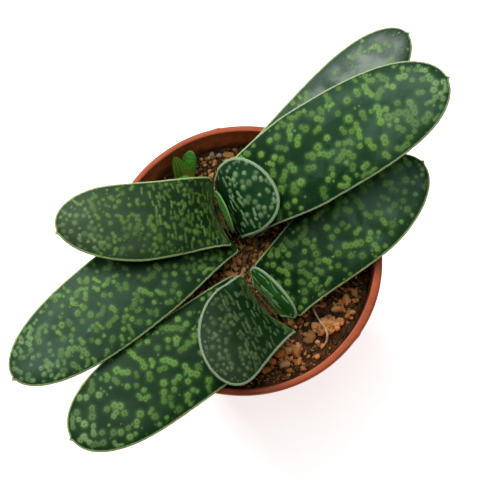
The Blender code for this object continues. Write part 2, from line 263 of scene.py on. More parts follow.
def newGroup(name, inputs, outputs):
    # inputs and outputs name the sockets of each kind
    tree = bpy.data.node_groups.new(name, "ShaderNodeTree")
    for side, sockets in (("INPUT", inputs), ("OUTPUT", outputs)):
        for kind, labels in sockets.items():
            for label in labels:
                tree.interface.new_socket(label, in_out=side, socket_type="NodeSocket" + kind)
    return tree, tree.nodes.new("NodeGroupInput").outputs, tree.nodes.new("NodeGroupOutput").inputs


def useGroup(tree, group, **values):
    return addNode(tree, "Group", values, node_tree=group).outputs


def newFinish(name, shine=0.5, **settings):
    finish = bpy.data.materials.new(name)
    finish.use_nodes = True
    shader = finish.node_tree.nodes["Principled BSDF"]
    feedAll(shader, {"Specular IOR Level": shine, **settings})
    return finish, finish.node_tree, shader


def dress(shader, colour, roughness, height, strength=1.0):
    # height is in millimetres
    relief = addNode(shader.id_data, "Bump", {"Strength": strength, "Distance": mm, "Height": height})
    feedAll(shader, {"Base Color": colour, "Roughness": roughness, "Normal": relief.outputs[0]})


def stainGroup():
    # a tint laid over a colour, where a mark goes from start to end
    tree, given, result = newGroup(
        "stain", {"Color": ("colour", "tint"), "Float": ("mark", "start", "end", "amount")},
        {"Color": ("colour",)})
    share = between(given["mark"], given["start"], given["end"], 0.0, given["amount"])
    feed(result["colour"], mixed(share, given["colour"], given["tint"]))
    return tree


stain = stainGroup()


def stained(colour, tint, mark, start, end, amount=1.0):
    return useGroup(mark.id_data, stain, colour=colour, tint=tint, mark=mark, start=start, end=end,
                    amount=amount)["colour"]


def dryFinish(name, look):
    # peat, grains, clay, root and husks: broad patches or each grain's own tone, then the stains
    finish, tree, shader = newFinish(name, look["shine"])
    place = objectPlace(tree)
    marks = {"broad": cloud(place, *look["broad"]), "fine": cloud(place, *look["fine"])}
    if "pores" in look:
        marks["pores"] = cells(place, look["pores"])
    if "tones" in look:
        tone = total(attribute(tree, "tone"), scaled(marks["broad"], *look["toneDrift"]))
        colour = ramped(tone, look["tones"])
    else:
        colour = mixed(between(marks["broad"], *look["patches"]), look["dark"], look["light"])
    for tint, mark, start, end, amount in look["stains"]:
        colour = stained(colour, look[tint], marks[mark], start, end, amount)
    height = total(*(product(marks[mark], depth) for mark, depth in look["relief"].items()))
    dress(shader, colour, between(marks["fine"], 0.3, 0.7, *look["roughness"]), height)
    return finish


# Leaf shapes: the same values and formula as the solids, at a finer step

firstPlant = {"centre": (-0.0069, 0.0164), "facing": math.radians(24), "stem": 0.0032}
secondPlant = {"centre": (0.0100, -0.0167), "facing": math.radians(40), "stem": 0.0038}
pupPlant = {"centre": (-0.0238, 0.0358), "facing": 0.0}
leafColumns = ("plant reach slide height heading turn rise level bend droop length width thickness "
               "neck shoulder roundness skew baseSkew cup point").split()
leafRows = {
    "first_plant_leaf_left_upper": (
        firstPlant, -0.0033, 0.0016, 0.0910, 192.5, -4, 68, 12, 6.0, 10, 0.0630, 0.0310, 0.0060,
        0.89, 0.59, 1.75, -0.41, -0.14, 0.32, 1.0),
    "first_plant_leaf_left_lower": (
        firstPlant, -0.0046, -0.0002, 0.0840, 222, -3, 52, 8, 7.0, 8, 0.0987, 0.0352, 0.0064,
        0.85, 0.42, 2.7, -0.11, 0.0, 0.15, 1.0),
    "first_plant_leaf_right_inner": (
        firstPlant, 0.0028, 0.0009, 0.0910, 27, 9, 80, 25, 2.5, 0, 0.0262, 0.0306, 0.0044,
        0.80, 0.43, 2.7, -0.08, 0.0, 0.08, 0.15),
    "first_plant_leaf_right_upper": (
        firstPlant, 0.0044, 0.0015, 0.0880, 27, 0, 60, 14, 6.0, 10, 0.0977, 0.0378, 0.0064,
        0.74, 0.41, 3.3, 0.06, 0.0, 0.15, 1.0),
    "first_plant_leaf_right_lower": (
        firstPlant, 0.0045, 0.0002, 0.0822, 44, 1, 54, 8, 6.5, 9, 0.0990, 0.0293, 0.0054,
        0.92, 0.59, 2.3, 0.19, 0.0, 0.15, 1.0),
    "first_plant_leaf_centre": (
        firstPlant, 0.0003, 0.0, 0.0909, 24, 0, 93, 66, 0.9, 0, 0.0122, 0.0176, 0.0015,
        0.90, 0.50, 2.0, 0.0, 0.0, 0.0, 0.2),
    "second_plant_leaf_left_inner": (
        secondPlant, -0.0044, -0.0008, 0.0880, 222, 20, 75, 18, 4.0, 8, 0.0362, 0.0325, 0.0052,
        0.94, 0.44, 2.3, 0.48, 0.0, 0.30, 0.2),
    "second_plant_leaf_left_lower": (
        secondPlant, -0.0048, 0.0006, 0.0830, 216.6, -1, 52, 8, 6.5, 9, 0.0875, 0.0344, 0.0058,
        0.97, 0.53, 2.7, 0.02, 0.0, 0.15, 1.0),
    "second_plant_leaf_right_inner": (
        secondPlant, 0.0002, 0.0005, 0.0880, 42, 0, 72, 56, 2.0, 0, 0.0127, 0.0255, 0.0022,
        0.66, 0.50, 2.5, 0.0, 0.0, 0.10, 0.0),
    "second_plant_leaf_right_lower": (
        secondPlant, 0.0050, 0.0015, 0.0830, 41, -2, 52, 8, 6.5, 9, 0.0762, 0.0352, 0.0056,
        0.76, 0.58, 1.85, -0.05, 0.0, 0.15, 1.0)}
leafEdge = {"marginHalf": 0.0005, "tipPoint": 0.0010, "tipPointWidth": 0.0011, "bead": 0.00013,
            "beadPlace": 0.45, "beadWidth": 0.38, "wobble": 0.00012, "wobbleSize": 1.6}


def plantPoint(plant, reach, slide, height):
    # reach goes along the plant's facing and slide across it
    (x, y), facing = plant["centre"], plant["facing"]
    return Vector((x + reach * math.cos(facing) - slide * math.sin(facing),
                   y + reach * math.sin(facing) + slide * math.cos(facing), height))


def midrib(leaf, count=160):
    step = leaf["length"] / count
    point = plantPoint(leaf["plant"], leaf["reach"], leaf["slide"], leaf["height"])
    rows = []
    for index in range(count + 1):
        share = index / count
        heading = math.radians(leaf["heading"] + leaf["turn"] * share)
        fall = (leaf["rise"] - leaf["level"]) * math.exp(-leaf["bend"] * share)
        rise = math.radians(leaf["level"] + fall - leaf["droop"] * share * share)
        direction = Vector((math.cos(rise) * math.cos(heading),
                            math.cos(rise) * math.sin(heading), math.sin(rise)))
        side = Vector((-math.sin(heading), math.cos(heading), 0.0))
        if rows:
            point = point + (rows[-1][1] + direction) * (step / 2)
        rows.append((point, direction, side))
    return rows


def tipShare(leaf, share):
    past = limited((share - leaf["shoulder"]) / (1.0 - leaf["shoulder"]))
    return math.sqrt(max(0.0, 1.0 - past ** leaf["roundness"]))


def baseShare(share):
    near = limited(share / 0.04)
    return math.sqrt(max(0.0, 1.0 - (1.0 - near) ** 2))


def halfWidth(leaf, share):
    neck = leaf["neck"] + (1.0 - leaf["neck"]) * ease(share / leaf["shoulder"])
    return leaf["width"] / 2 * neck * tipShare(leaf, share) * baseShare(share)


def leafDepth(leaf, share):
    swell = 0.58 + 0.42 * ease(share / 0.35)
    thin = 1.0 - 0.35 * ease((share - 0.55) / 0.45)
    return leaf["thickness"] * swell * thin * tipShare(leaf, share) ** 0.6 * baseShare(share)


def flatPlace(leaf, share, across):
    # where a point lies on the leaf laid flat, in metres along it and across it
    half = halfWidth(leaf, share)
    late = ease(share / 0.5)
    slant = (leaf["skew"] * late + leaf["baseSkew"] * (1.0 - late)) * half * across
    near = max(0.0, 1.0 - half / leafEdge["tipPointWidth"]) if share > 0.5 else 0.0
    point = leafEdge["tipPoint"] * leaf["point"] * near ** 1.4
    return share * leaf["length"] + slant + point, half * across


def leafPoint(leaf, rows, share, across, top):
    place = share * (len(rows) - 1)
    index = min(int(place), len(rows) - 2)
    point, direction, side = (
        rows[index][part].lerp(rows[index + 1][part], place - index) for part in range(3))
    direction.normalize()
    side.normalize()
    normal = direction.cross(side)
    half = halfWidth(leaf, share)
    depth = leafDepth(leaf, share)
    margin = min(leafEdge["marginHalf"], depth / 2)
    belly = max(depth - 2.0 * margin, 0.0)
    lens = max(0.0, 1.0 - across * across)
    if top:
        lift = margin * math.sqrt(lens) + 0.38 * belly * lens ** 0.8
    else:
        lift = -margin * math.sqrt(lens) - 0.62 * belly * lens ** 0.7
    cup = leaf["cup"] * half * across * across * (1.0 - ease(share / 0.35))
    forward = flatPlace(leaf, share, across)[0] - share * leaf["length"]
    return point + side * (half * across) + normal * (lift + cup) + direction * forward, normal


def softEnds(share, end=0.08):
    # even steps, with finer ones at both ends
    if share < end:
        return share * share / (2 * end * (1 - end))
    if share > 1 - end:
        return 1.0 - softEnds(1.0 - share, end)
    return (share - end / 2) / (1 - end)


# Leaf spots: small discs in short chains, placed by a seeded rule on the leaf laid flat

spotRule = {"outlineSteps": 600, "baseEnd": 0.025, "reach": 0.985, "side": 0.97, "linkSize": (0.80, 1.15),
            "linkStep": (1.25, 1.6), "linkBend": 0.6, "chainTurn": 0.55, "sizes": (0.78, 1.12),
            "nearEdge": 0.62, "edgeReach": 4.5, "toneSpread": 0.2, "speckSize": (0.34, 0.62),
            "streakStep": 0.8, "streakBend": 0.05, "streakSpread": 0.10, "streakSide": 0.9}


def leafOutline(leaf):
    places = []
    for index in range(spotRule["outlineSteps"] + 1):
        share = softEnds(index / spotRule["outlineSteps"])
        if share > spotRule["baseEnd"]:
            for side in (1.0, -1.0):
                x, y = flatPlace(leaf, share, side)
                places.append((x / mm, y / mm, 0.0))
    return treeOf(places)


def scatterSpots(leaf, skin, outline, seed):
    rng = random.Random(seed)
    spots = []

    def clear(place, size, others):
        if outline.find(place)[2] < size * 0.8 + skin["clearEdge"]:
            return False
        return all((place - other).length > size + width for other, width, tone in others)

    def grow(size, length, heading, share, across, spacing, bend):
        place = Vector((*flatPlace(leaf, share, across), 0.0)) / mm
        others = list(spots)
        tone = rng.random()
        for link in range(length):
            width = size * rng.uniform(*spotRule["linkSize"])
            inside = min(1.0, outline.find(place)[2] / spotRule["edgeReach"])
            width *= spotRule["nearEdge"] + (1.0 - spotRule["nearEdge"]) * inside
            if not clear(place, width, others):
                break
            shift = rng.uniform(-spotRule["toneSpread"], spotRule["toneSpread"])
            spots.append((place.copy(), width, limited(tone + shift)))
            heading += rng.gauss(0.0, bend)
            place += Vector((math.cos(heading), math.sin(heading), 0.0)) * width * spacing

    for streak in range(skin["streaks"]):
        share = rng.uniform(0.02, 1.0) ** 1.3 * skin["streakReach"]
        size = rng.uniform(*skin["streakSize"])
        length = int(rng.uniform(*skin["streakLength"]) / (size * spotRule["streakStep"]))
        across = rng.uniform(-spotRule["streakSide"], spotRule["streakSide"])
        heading = math.pi / 2 + skin["streakTurn"] + rng.gauss(0.0, spotRule["streakSpread"])
        grow(size, length, heading, share, across, spotRule["streakStep"], spotRule["streakBend"])
    for attempt in range(skin["attempts"]):
        share = rng.uniform(skin["spotStart"], spotRule["reach"])
        across = rng.uniform(-spotRule["side"], spotRule["side"])
        size = skin["spotSize"] * rng.uniform(*spotRule["sizes"])
        length = 1
        while length < skin["longestChain"] and rng.random() < skin["chaining"]:
            length += 1
        heading = rng.choice((-1, 1)) * math.pi / 2 + rng.gauss(0.0, spotRule["chainTurn"])
        grow(size, length, heading, share, across, rng.uniform(*spotRule["linkStep"]),
             spotRule["linkBend"])
    for speck in range(skin["specks"]):
        share = rng.uniform(skin["spotStart"], spotRule["reach"])
        across = rng.choice((-1, 1)) * rng.uniform(0.3, spotRule["side"])
        grow(rng.uniform(*spotRule["speckSize"]), 1, 0.0, share, across, 1.0, 0.0)
    return spots, treeOf([spot[0] for spot in spots])


def nearestSpot(spots, tree, place):
    # distance to the nearest spot, counted in that spot's radius, and the spot's tone
    best, tone = 3.0, 0.5
    for found, index, distance in tree.find_n(place, 4):
        if index < len(spots) and distance / spots[index][1] < best:
            best, tone = distance / spots[index][1], spots[index][2]
    return best, tone


# Leaf skin

leafMarks = ("spot", "tone", "edge", "along", "underside")  # kept on each point of a leaf
skinValues = ("strength", "edgeWidth", "baseReach", "tipReach", "ring")
skinColours = ("ground", "sheenAndFleckColour", "spotColour", "edgeColour", "baseColour", "tipColour")


def leafSkinGroup():
    tree, given, result = newGroup(
        "leafSkin", {"Float": leafMarks + skinValues, "Vector": ("place",), "Color": skinColours},
        {"Color": ("colour",), "Float": ("roughness", "height")})
    place, along = given["place"], given["along"]
    patches = cloud(place, 9.0, 3.0, 0.4)
    fine = cloud(place, 0.75, 3.0)
    grain = cloud(place, 0.3, 1.0)
    ragged = scaled(cloud(place, 0.8, 3.0), 0.9, -0.45)
    reach = total(given["spot"], ragged)
    # painted sheen as pale patches towards the tip, painted shade darkening the heel, flecks, and a faint
    # halo about each spot
    pale = calc("ADD", between(patches, 0.38, 0.68, -0.25, 0.40), between(along, 0.35, 0.98, 0.0, 0.70),
                clamp=True)
    pale = product(pale, between(given["edge"], 0.8, 6.5, 0.1, 1.0))
    ground = mixed(pale, given["ground"], given["sheenAndFleckColour"])
    # painted shade: the ground darkens towards the heel, where the leaves crowd and shade each other
    ground = mixed(between(along, 0.60, 0.15, 0.0, 0.85), ground, (0.002, 0.021, 0.003))
    flecks = product(between(fine, 0.42, 0.72, 0.0, 0.5), scaled(pale, 0.8, 0.2))
    ground = mixed(flecks, ground, given["sheenAndFleckColour"])
    ground = mixed(between(reach, 2.2, 0.9, 0.0, 0.11), ground, given["spotColour"])
    ground = mixed(product(given["underside"], 0.55), ground, (0.085, 0.15, 0.035))
    # spots, which can be rings with a brighter rim, whitened towards the tip by a painted sheen
    tone = between(given["tone"], 0.0, 1.0, 0.40, 1.0)
    hole = product(between(reach, 0.48, 0.12), given["ring"])
    shown = product(between(reach, 1.52, 0.45), tone, given["strength"], calc("SUBTRACT", 1.0, hole))
    paintedTipSheen = between(along, 0.60, 1.0, 0.0, 0.30)
    colour = mixed(shown, ground, mixed(paintedTipSheen, given["spotColour"], (0.38, 0.51, 0.33)))
    # the brighter rim is partly the ring's own paler colour and partly a painted highlight on the raised
    # spot
    rim = product(between(reach, 1.05, 0.70), between(reach, 0.25, 0.5), tone, given["ring"], 0.75,
                  given["strength"])
    colour = mixed(rim, colour, mixed(paintedTipSheen, (0.27, 0.47, 0.12), (0.58, 0.70, 0.52)))
    # base, tip and margin
    fromBase = total(along, scaled(cloud(place, 4.0), 0.12, -0.06))
    colour = mixed(between(fromBase, given["baseReach"], 0.0, 0.0, 0.8), colour, given["baseColour"])
    tipStart = calc("SUBTRACT", 1.0, given["tipReach"])
    colour = mixed(between(along, tipStart, 1.0), colour, given["tipColour"])
    edge, width = total(given["edge"], product(ragged, 0.6)), given["edgeWidth"]
    margin = between(edge, total(width, 0.2), total(width, -0.2))
    innerLine = between(edge, total(width, 1.2), total(width, 0.35), 0.0, 0.45)
    colour = mixed(innerLine, colour, given["ground"])
    colour = mixed(product(margin, 0.9), colour, given["edgeColour"])
    dust = product(calc("SUBTRACT", fine, 0.5, clamp=True), 0.9)
    feed(result["colour"], mixed(dust, colour, (0.30, 0.36, 0.26), "SOFT_LIGHT"))
    feed(result["roughness"], total(between(patches, 0.3, 0.7, 0.42, 0.54), product(shown, -0.10),
                                    product(margin, 0.12)))
    feed(result["height"], total(product(shown, 0.24), product(fine, 0.05), product(grain, 0.02)))
    return tree


leafSkin = leafSkinGroup()
# each skin's lighter ground colour is the painted sheen on the leaf, and also the colour of its flecks
plainSkin = dict(
    ground=(0.008, 0.045, 0.010), sheenAndFleckColour=(0.018, 0.078, 0.024), spotColour=(0.13, 0.29, 0.045),
    edgeColour=(0.40, 0.53, 0.20), baseColour=(0.05, 0.10, 0.02), tipColour=(0.08, 0.10, 0.04),
    strength=0.9, edgeWidth=0.62, baseReach=0.06, tipReach=0.008, shine=0.3, ring=0.45, spotSize=1.22,
    attempts=250, chaining=0.58, longestChain=6, spotStart=0.05, clearEdge=0.4, specks=70, streaks=0,
    streakTurn=0.0, streakReach=0.3, streakLength=(1.5, 4.0), streakSize=(0.24, 0.42), step=0.55,
    slot="leaf_skin")
leafSkins = {
    "first_plant_leaf_left_upper": dict(
        ground=(0.014, 0.044, 0.009), sheenAndFleckColour=(0.042, 0.074, 0.034), spotColour=(0.13, 0.24, 0.035),
        strength=0.75, spotSize=0.95, attempts=360, chaining=0.35, streaks=130, ring=0.15, specks=120,
        streakReach=0.42, streakSize=(0.30, 0.52), baseColour=(0.10, 0.17, 0.05), baseReach=0.12),
    "first_plant_leaf_left_lower": dict(
        ground=(0.008, 0.042, 0.010), sheenAndFleckColour=(0.050, 0.105, 0.065), attempts=390, spotSize=1.06,
        strength=0.76, tipColour=(0.34, 0.06, 0.02), tipReach=0.014),
    "first_plant_leaf_right_inner": dict(
        ground=(0.003, 0.034, 0.006), sheenAndFleckColour=(0.010, 0.060, 0.018), spotColour=(0.22, 0.38, 0.16),
        edgeColour=(0.30, 0.44, 0.24), edgeWidth=1.0, spotSize=0.95, attempts=120, chaining=0.2,
        ring=0.2, longestChain=2, spotStart=0.3, streaks=34, streakReach=0.5, streakLength=(1.5, 4.5),
        streakSize=(0.38, 0.6), specks=10, clearEdge=0.7, baseColour=(0.16, 0.28, 0.10), baseReach=0.10,
        step=0.32),
    "first_plant_leaf_right_upper": dict(
        ground=(0.004, 0.040, 0.008), sheenAndFleckColour=(0.060, 0.125, 0.078), chaining=0.6, longestChain=6,
        spotColour=(0.15, 0.33, 0.055), spotSize=1.30, shine=0.16, edgeColour=(0.43, 0.53, 0.27)),
    # a strong painted sheen over this leaf's visible middle
    "first_plant_leaf_right_lower": dict(
        ground=(0.007, 0.040, 0.013), sheenAndFleckColour=(0.30, 0.35, 0.31), attempts=60),
    "first_plant_leaf_centre": dict(
        ground=(0.06, 0.26, 0.03), sheenAndFleckColour=(0.11, 0.40, 0.06), spotColour=(0.20, 0.46, 0.10),
        shine=0.5, edgeColour=(0.16, 0.36, 0.10), edgeWidth=0.5, attempts=30, spotSize=0.5, chaining=0.0,
        baseColour=(0.2, 0.3, 0.08), step=0.32, slot="young_leaf_skin"),
    "second_plant_leaf_left_inner": dict(
        ground=(0.009, 0.026, 0.006), sheenAndFleckColour=(0.020, 0.040, 0.014), spotColour=(0.12, 0.19, 0.07),
        shine=0.18, strength=0.62, edgeColour=(0.31, 0.40, 0.24), edgeWidth=0.8, spotSize=0.80,
        attempts=150, ring=0.0, chaining=0.3, longestChain=2, spotStart=0.3, streaks=110,
        streakReach=0.5, specks=30, streakTurn=-0.45, streakLength=(1.4, 4.0), streakSize=(0.30, 0.50),
        clearEdge=0.7, baseColour=(0.11, 0.19, 0.05), baseReach=0.14, step=0.32),
    "second_plant_leaf_left_lower": dict(
        ground=(0.005, 0.034, 0.006), sheenAndFleckColour=(0.026, 0.060, 0.030), attempts=230, shine=0.18,
        strength=0.82, chaining=0.62, spotSize=1.25),
    "second_plant_leaf_right_inner": dict(
        ground=(0.014, 0.100, 0.012), sheenAndFleckColour=(0.05, 0.22, 0.03), spotColour=(0.42, 0.62, 0.32),
        edgeColour=(0.30, 0.44, 0.24), edgeWidth=0.95, attempts=6, spotSize=0.5, streaks=30, ring=0.0,
        streakReach=0.8, streakLength=(2.5, 7.0), specks=0, baseColour=(0.14, 0.32, 0.05), baseReach=0.5,
        step=0.32, slot="young_leaf_skin"),
    "second_plant_leaf_right_lower": dict(
        ground=(0.007, 0.038, 0.007), sheenAndFleckColour=(0.075, 0.155, 0.100), attempts=260, shine=0.2,
        strength=0.82, chaining=0.4, longestChain=4)}
leafBuild = {"seed": 3, "undersideSeed": 50, "undersideShare": 0.6, "mergeDistance": 0.000002,
             "wave": 0.00035, "waveSize": 14.0, "ripple": 0.00008, "rippleSize": 5.0, "spotLift": 0.00008}


def leafFinish(name, skin):
    finish, tree, shader = newFinish(name, skin["shine"], IOR=1.45)
    feed(shader.inputs["Specular Tint"], (0.78, 1.0, 0.84))
    looks = useGroup(tree, leafSkin, place=attribute(tree, "place", "Vector"),
                     **{mark: attribute(tree, mark) for mark in leafMarks},
                     **{label: skin[label] for label in skinValues + skinColours})
    dress(shader, looks["colour"], looks["roughness"], looks["height"])
    return finish


def leafForm(leaf, skin, seed):
    # a ball whose rings run along the leaf, with the upper side on its first points
    step = skin["step"] * mm * 1.0
    topSides = max(10, round(leaf["width"] / step))
    lowSides = max(8, round(topSides * leafBuild["undersideShare"]))
    sides = topSides + lowSides
    form = bmesh.new()
    layers = {label: form.verts.layers.float.new(label) for label in leafMarks}
    placeLayer = form.verts.layers.float_vector.new("place")
    bmesh.ops.create_uvsphere(form, u_segments=sides, v_segments=max(14, round(leaf["length"] / step)),
                              radius=1.0)
    rows = midrib(leaf)
    outline = leafOutline(leaf)
    layouts = [scatterSpots(leaf, skin, outline, start)
               for start in (seed, seed + leafBuild["undersideSeed"])]
    drift = Vector((seed * 7.3, seed * 3.1, 0.0))
    for vert in form.verts:
        ring = 1.0 - math.acos(min(max(vert.co.z, -1.0), 1.0)) / math.pi
        share = softEnds(limited(ring))
        turn = round(math.atan2(vert.co.y, vert.co.x) / (2 * math.pi) * sides) % sides
        top = turn <= topSides
        count = turn / topSides if top else 1.0 - (turn - topSides) / lowSides
        across = 1.0 - 2.0 * softEnds(count)
        place = Vector((*flatPlace(leaf, share, across), 0.0)) / mm
        drifted = place + drift
        edge = outline.find(place)[2]
        spot, tone = nearestSpot(*layouts[0 if top else 1], place)
        point, normal = leafPoint(leaf, rows, share, across, top)
        bead = (edge - leafEdge["beadPlace"]) / leafEdge["beadWidth"]
        lift = leafEdge["bead"] * math.exp(-bead ** 2)
        inside = ease(edge / 3.0) * ease((share - 0.12) / 0.2)
        lift += noise.noise(drifted / leafBuild["waveSize"]) * leafBuild["wave"] * inside
        lift += noise.noise(drifted / leafBuild["rippleSize"]) * leafBuild["ripple"] * inside
        lift += leafBuild["spotLift"] * max(0.0, 1.0 - spot * spot) * min(1.0, edge / 2.0)
        lift *= baseShare(share) * min(1.0, (1.0 - across * across) * 12.0)
        wave = noise.noise(drifted / leafEdge["wobbleSize"]) * leafEdge["wobble"] * (1.0 - ease(edge / 1.5))
        outward = across * wave * ease(share / 0.1) * ease((1.0 - share) / 0.03)
        side = normal.cross(rows[min(int(share * (len(rows) - 1)), len(rows) - 1)][1])
        vert.co = point + normal * (lift if top else -lift) + side * outward
        for label, value in zip(leafMarks, (spot, tone, edge, share, 0.0 if top else 1.0)):
            vert[layers[label]] = value
        vert[placeLayer] = drifted + Vector((0.0, 0.0, 0.0 if top else 40.0))
    bmesh.ops.remove_doubles(form, verts=form.verts, dist=leafBuild["mergeDistance"])
    return form


def makeLeaves():
    for seed, (node, row) in enumerate(leafRows.items(), leafBuild["seed"]):
        skin = {**plainSkin, **leafSkins[node]}
        form = leafForm(dict(zip(leafColumns, row)), skin, seed)
        addPiece(node + "_skin", form, leafFinish(node + "_finish", skin), skin["slot"], node)


makeLeaves()
print("leaves made")


# Pot: the solid's own profile with rounded edges, its drain holes, and a slightly uneven rim

pot = {"height": 0.092, "rim": 0.0525, "lipWidth": 0.0024, "lipDepth": 0.0030, "lipRound": 0.0006,
       "wall": 0.0014, "collar": 0.018, "draft": math.radians(5.5), "shoulder": 0.0016,
       "base": 0.0376, "foot": 0.0040, "footRound": 0.0010, "cornerRound": 0.0005,
       "channelSlope": 0.0016, "channelRise": 0.0025, "channelOuter": 0.0305, "channelInner": 0.0140,
       "drains": 8, "drainRadius": 0.0030, "steps": 240, "mergeDistance": 0.00001, "wobble": 0.00018,
       "nubs": (101.0, -35.0), "nubRise": 0.00035, "nubWidth": 0.0009,
       "bulge": 0.0008, "bulgePlace": -22.0, "bulgeWidth": 42.0}
potLook = {"shine": 0.22, "plastic": ((0.40, 0.068, 0.020), (0.50, 0.092, 0.028)),
           "faded": (0.52, 0.125, 0.050), "stained": (0.26, 0.06, 0.028), "worn": (0.47, 0.10, 0.034),
           # a lighter orange than the plastic: painted light on the inner collar wall
           "dustAndPaintedLight": ((0.78, 0.19, 0.065), (0.88, 0.30, 0.12)), "fleck": (0.62, 0.40, 0.28),
           "soiled": (0.13, 0.062, 0.026), "smear": (0.34, 0.17, 0.075),
           "smearPlace": (47.0, -11.0, 82.5), "smearSquash": (1.0, 0.7, 1.0)}


def collarRadius(height):
    below = pot["height"] - pot["lipDepth"] - height
    return pot["rim"] - pot["lipRound"] - pot["wall"] - below * math.tan(pot["draft"])


def shoulderHeights():
    top = pot["height"] - pot["collar"]
    return top, top - pot["shoulder"]


def wallRadius(height):
    top, low = shoulderHeights()
    wallTop = collarRadius(top) - pot["shoulder"]
    foot = pot["base"] - pot["wall"]
    return foot + (wallTop - foot) * (height - pot["wall"]) / (low - pot["wall"])


def potProfile():
    # from the middle of the floor up the inside, over the lip, down the outside and back below
    wall, raised, slope, soft = pot["wall"], pot["channelRise"], pot["channelSlope"], pot["lipRound"]
    inner, outer, base, rim, height = (
        pot[label] for label in ("channelInner", "channelOuter", "base", "rim", "height"))
    top, low = shoulderHeights()
    lip, under = rim - pot["lipWidth"], height - pot["lipDepth"]
    return [
        (0.0, wall), (inner - slope, wall), (inner, wall + raised), (outer, wall + raised),
        (outer + slope, wall), (wallRadius(wall) - soft, wall), (wallRadius(low), low),
        (collarRadius(top), top), (collarRadius(under), under), (lip, under + 0.0008),
        (lip, height - 0.0002), (lip + 0.0009, height), (rim - soft, height - 0.0001),
        (rim, height - soft), (rim, under + 0.0004), (collarRadius(under) + wall, under),
        (collarRadius(top) + wall, top), (wallRadius(low) + wall, low), (base, pot["footRound"]),
        (base - pot["footRound"], 0.0), (base - pot["foot"], 0.0), (outer + slope / 2, raised),
        (inner + wall, raised), (inner + wall - slope, 0.0), (0.0, 0.0)]


def roundedPath(points, radius, steps=3):
    # each corner becomes a short curve
    path = [points[0]]
    for before, corner, after in zip(points, points[1:], points[2:]):
        corner, before, after = Vector(corner), Vector(before), Vector(after)
        reach = min(radius, (before - corner).length * 0.45, (after - corner).length * 0.45)
        start = corner + (before - corner).normalized() * reach
        end = corner + (after - corner).normalized() * reach
        for index in range(steps + 1):
            share = index / steps
            path.append(start.lerp(corner, share).lerp(corner.lerp(end, share), share))
    return path + [points[-1]]


def turned(points, steps):
    form = bmesh.new()
    verts = [form.verts.new((point[0], 0.0, point[1])) for point in points]
    edges = [form.edges.new(pair) for pair in zip(verts, verts[1:])]
    bmesh.ops.spin(form, geom=verts + edges, cent=(0, 0, 0), axis=(0, 0, 1), angle=2 * math.pi,
                   steps=steps, use_merge=True)
    bmesh.ops.remove_doubles(form, verts=form.verts, dist=pot["mergeDistance"])
    bmesh.ops.recalc_face_normals(form, faces=form.faces)
    return form


def potFinish():
    finish, tree, shader = newFinish("terracottaPlastic", potLook["shine"], IOR=1.49)
    place = objectPlace(tree)
    axes = addNode(tree, "SeparateXYZ", {0: place}).outputs
    x, y, z = axes
    patches, mottle = cloud(place, 14.0, 3.0), cloud(place, 2.2, 4.0)
    # the inner side of the collar: painted lighter than the plastic, standing in for light falling on it,
    # and soiled near the soil
    radius = calc("SQRT", total(product(x, x), product(y, y)))
    midWall = scaled(z, math.tan(pot["draft"]), collarRadius(0.0) / mm + pot["wall"] / mm * 0.4)
    step = shoulderHeights()[1] / mm
    inner = product(between(calc("SUBTRACT", radius, midWall), 0.15, -0.15), between(z, 91.6, 90.6),
                    between(z, step - 0.5, step + 0.5))
    colour = mixed(between(patches, 0.35, 0.65), *potLook["plastic"])
    colour = stained(colour, potLook["faded"], mottle, 0.45, 0.75, 0.4)
    colour = stained(colour, potLook["stained"], mottle, 0.42, 0.25, 0.35)
    wear = product(between(z, 91.5, 92.0), between(mottle, 0.4, 0.6, 0.2, 0.6))
    colour = mixed(wear, colour, potLook["worn"])
    # painted light: a brighter, mottled orange on the inner collar wall
    colour = mixed(inner, colour, mixed(between(mottle, 0.35, 0.7), *potLook["dustAndPaintedLight"]))
    fleck = product(between(cells(place, 1.3), 0.16, 0.08), between(mottle, 0.5, 0.6), 0.7)
    colour = mixed(fleck, colour, potLook["fleck"])
    splash = scaled(cloud(place, 5.0, 4.0), 13.0, -6.5)
    soiled = product(between(total(z, splash), 82.0, 78.0), inner, 0.65)
    colour = mixed(soiled, colour, potLook["soiled"])
    away = [product(calc("SUBTRACT", axis, middle), squash)
            for axis, middle, squash in zip(axes, potLook["smearPlace"], potLook["smearSquash"])]
    smear = calc("SQRT", total(*(calc("POWER", part, 2.0) for part in away)))
    smear = total(smear, scaled(mottle, 10.0, -5.0))
    colour = mixed(product(between(smear, 8.0, 3.0), inner, 0.75), colour, potLook["smear"])
    roughness = total(scaled(mottle, 0.22, 0.30), product(inner, 0.18))
    height = total(product(cloud(place, 0.25), 0.02), product(mottle, 0.06), product(soiled, 0.15))
    dress(shader, colour, roughness, height, 0.6)
    return finish


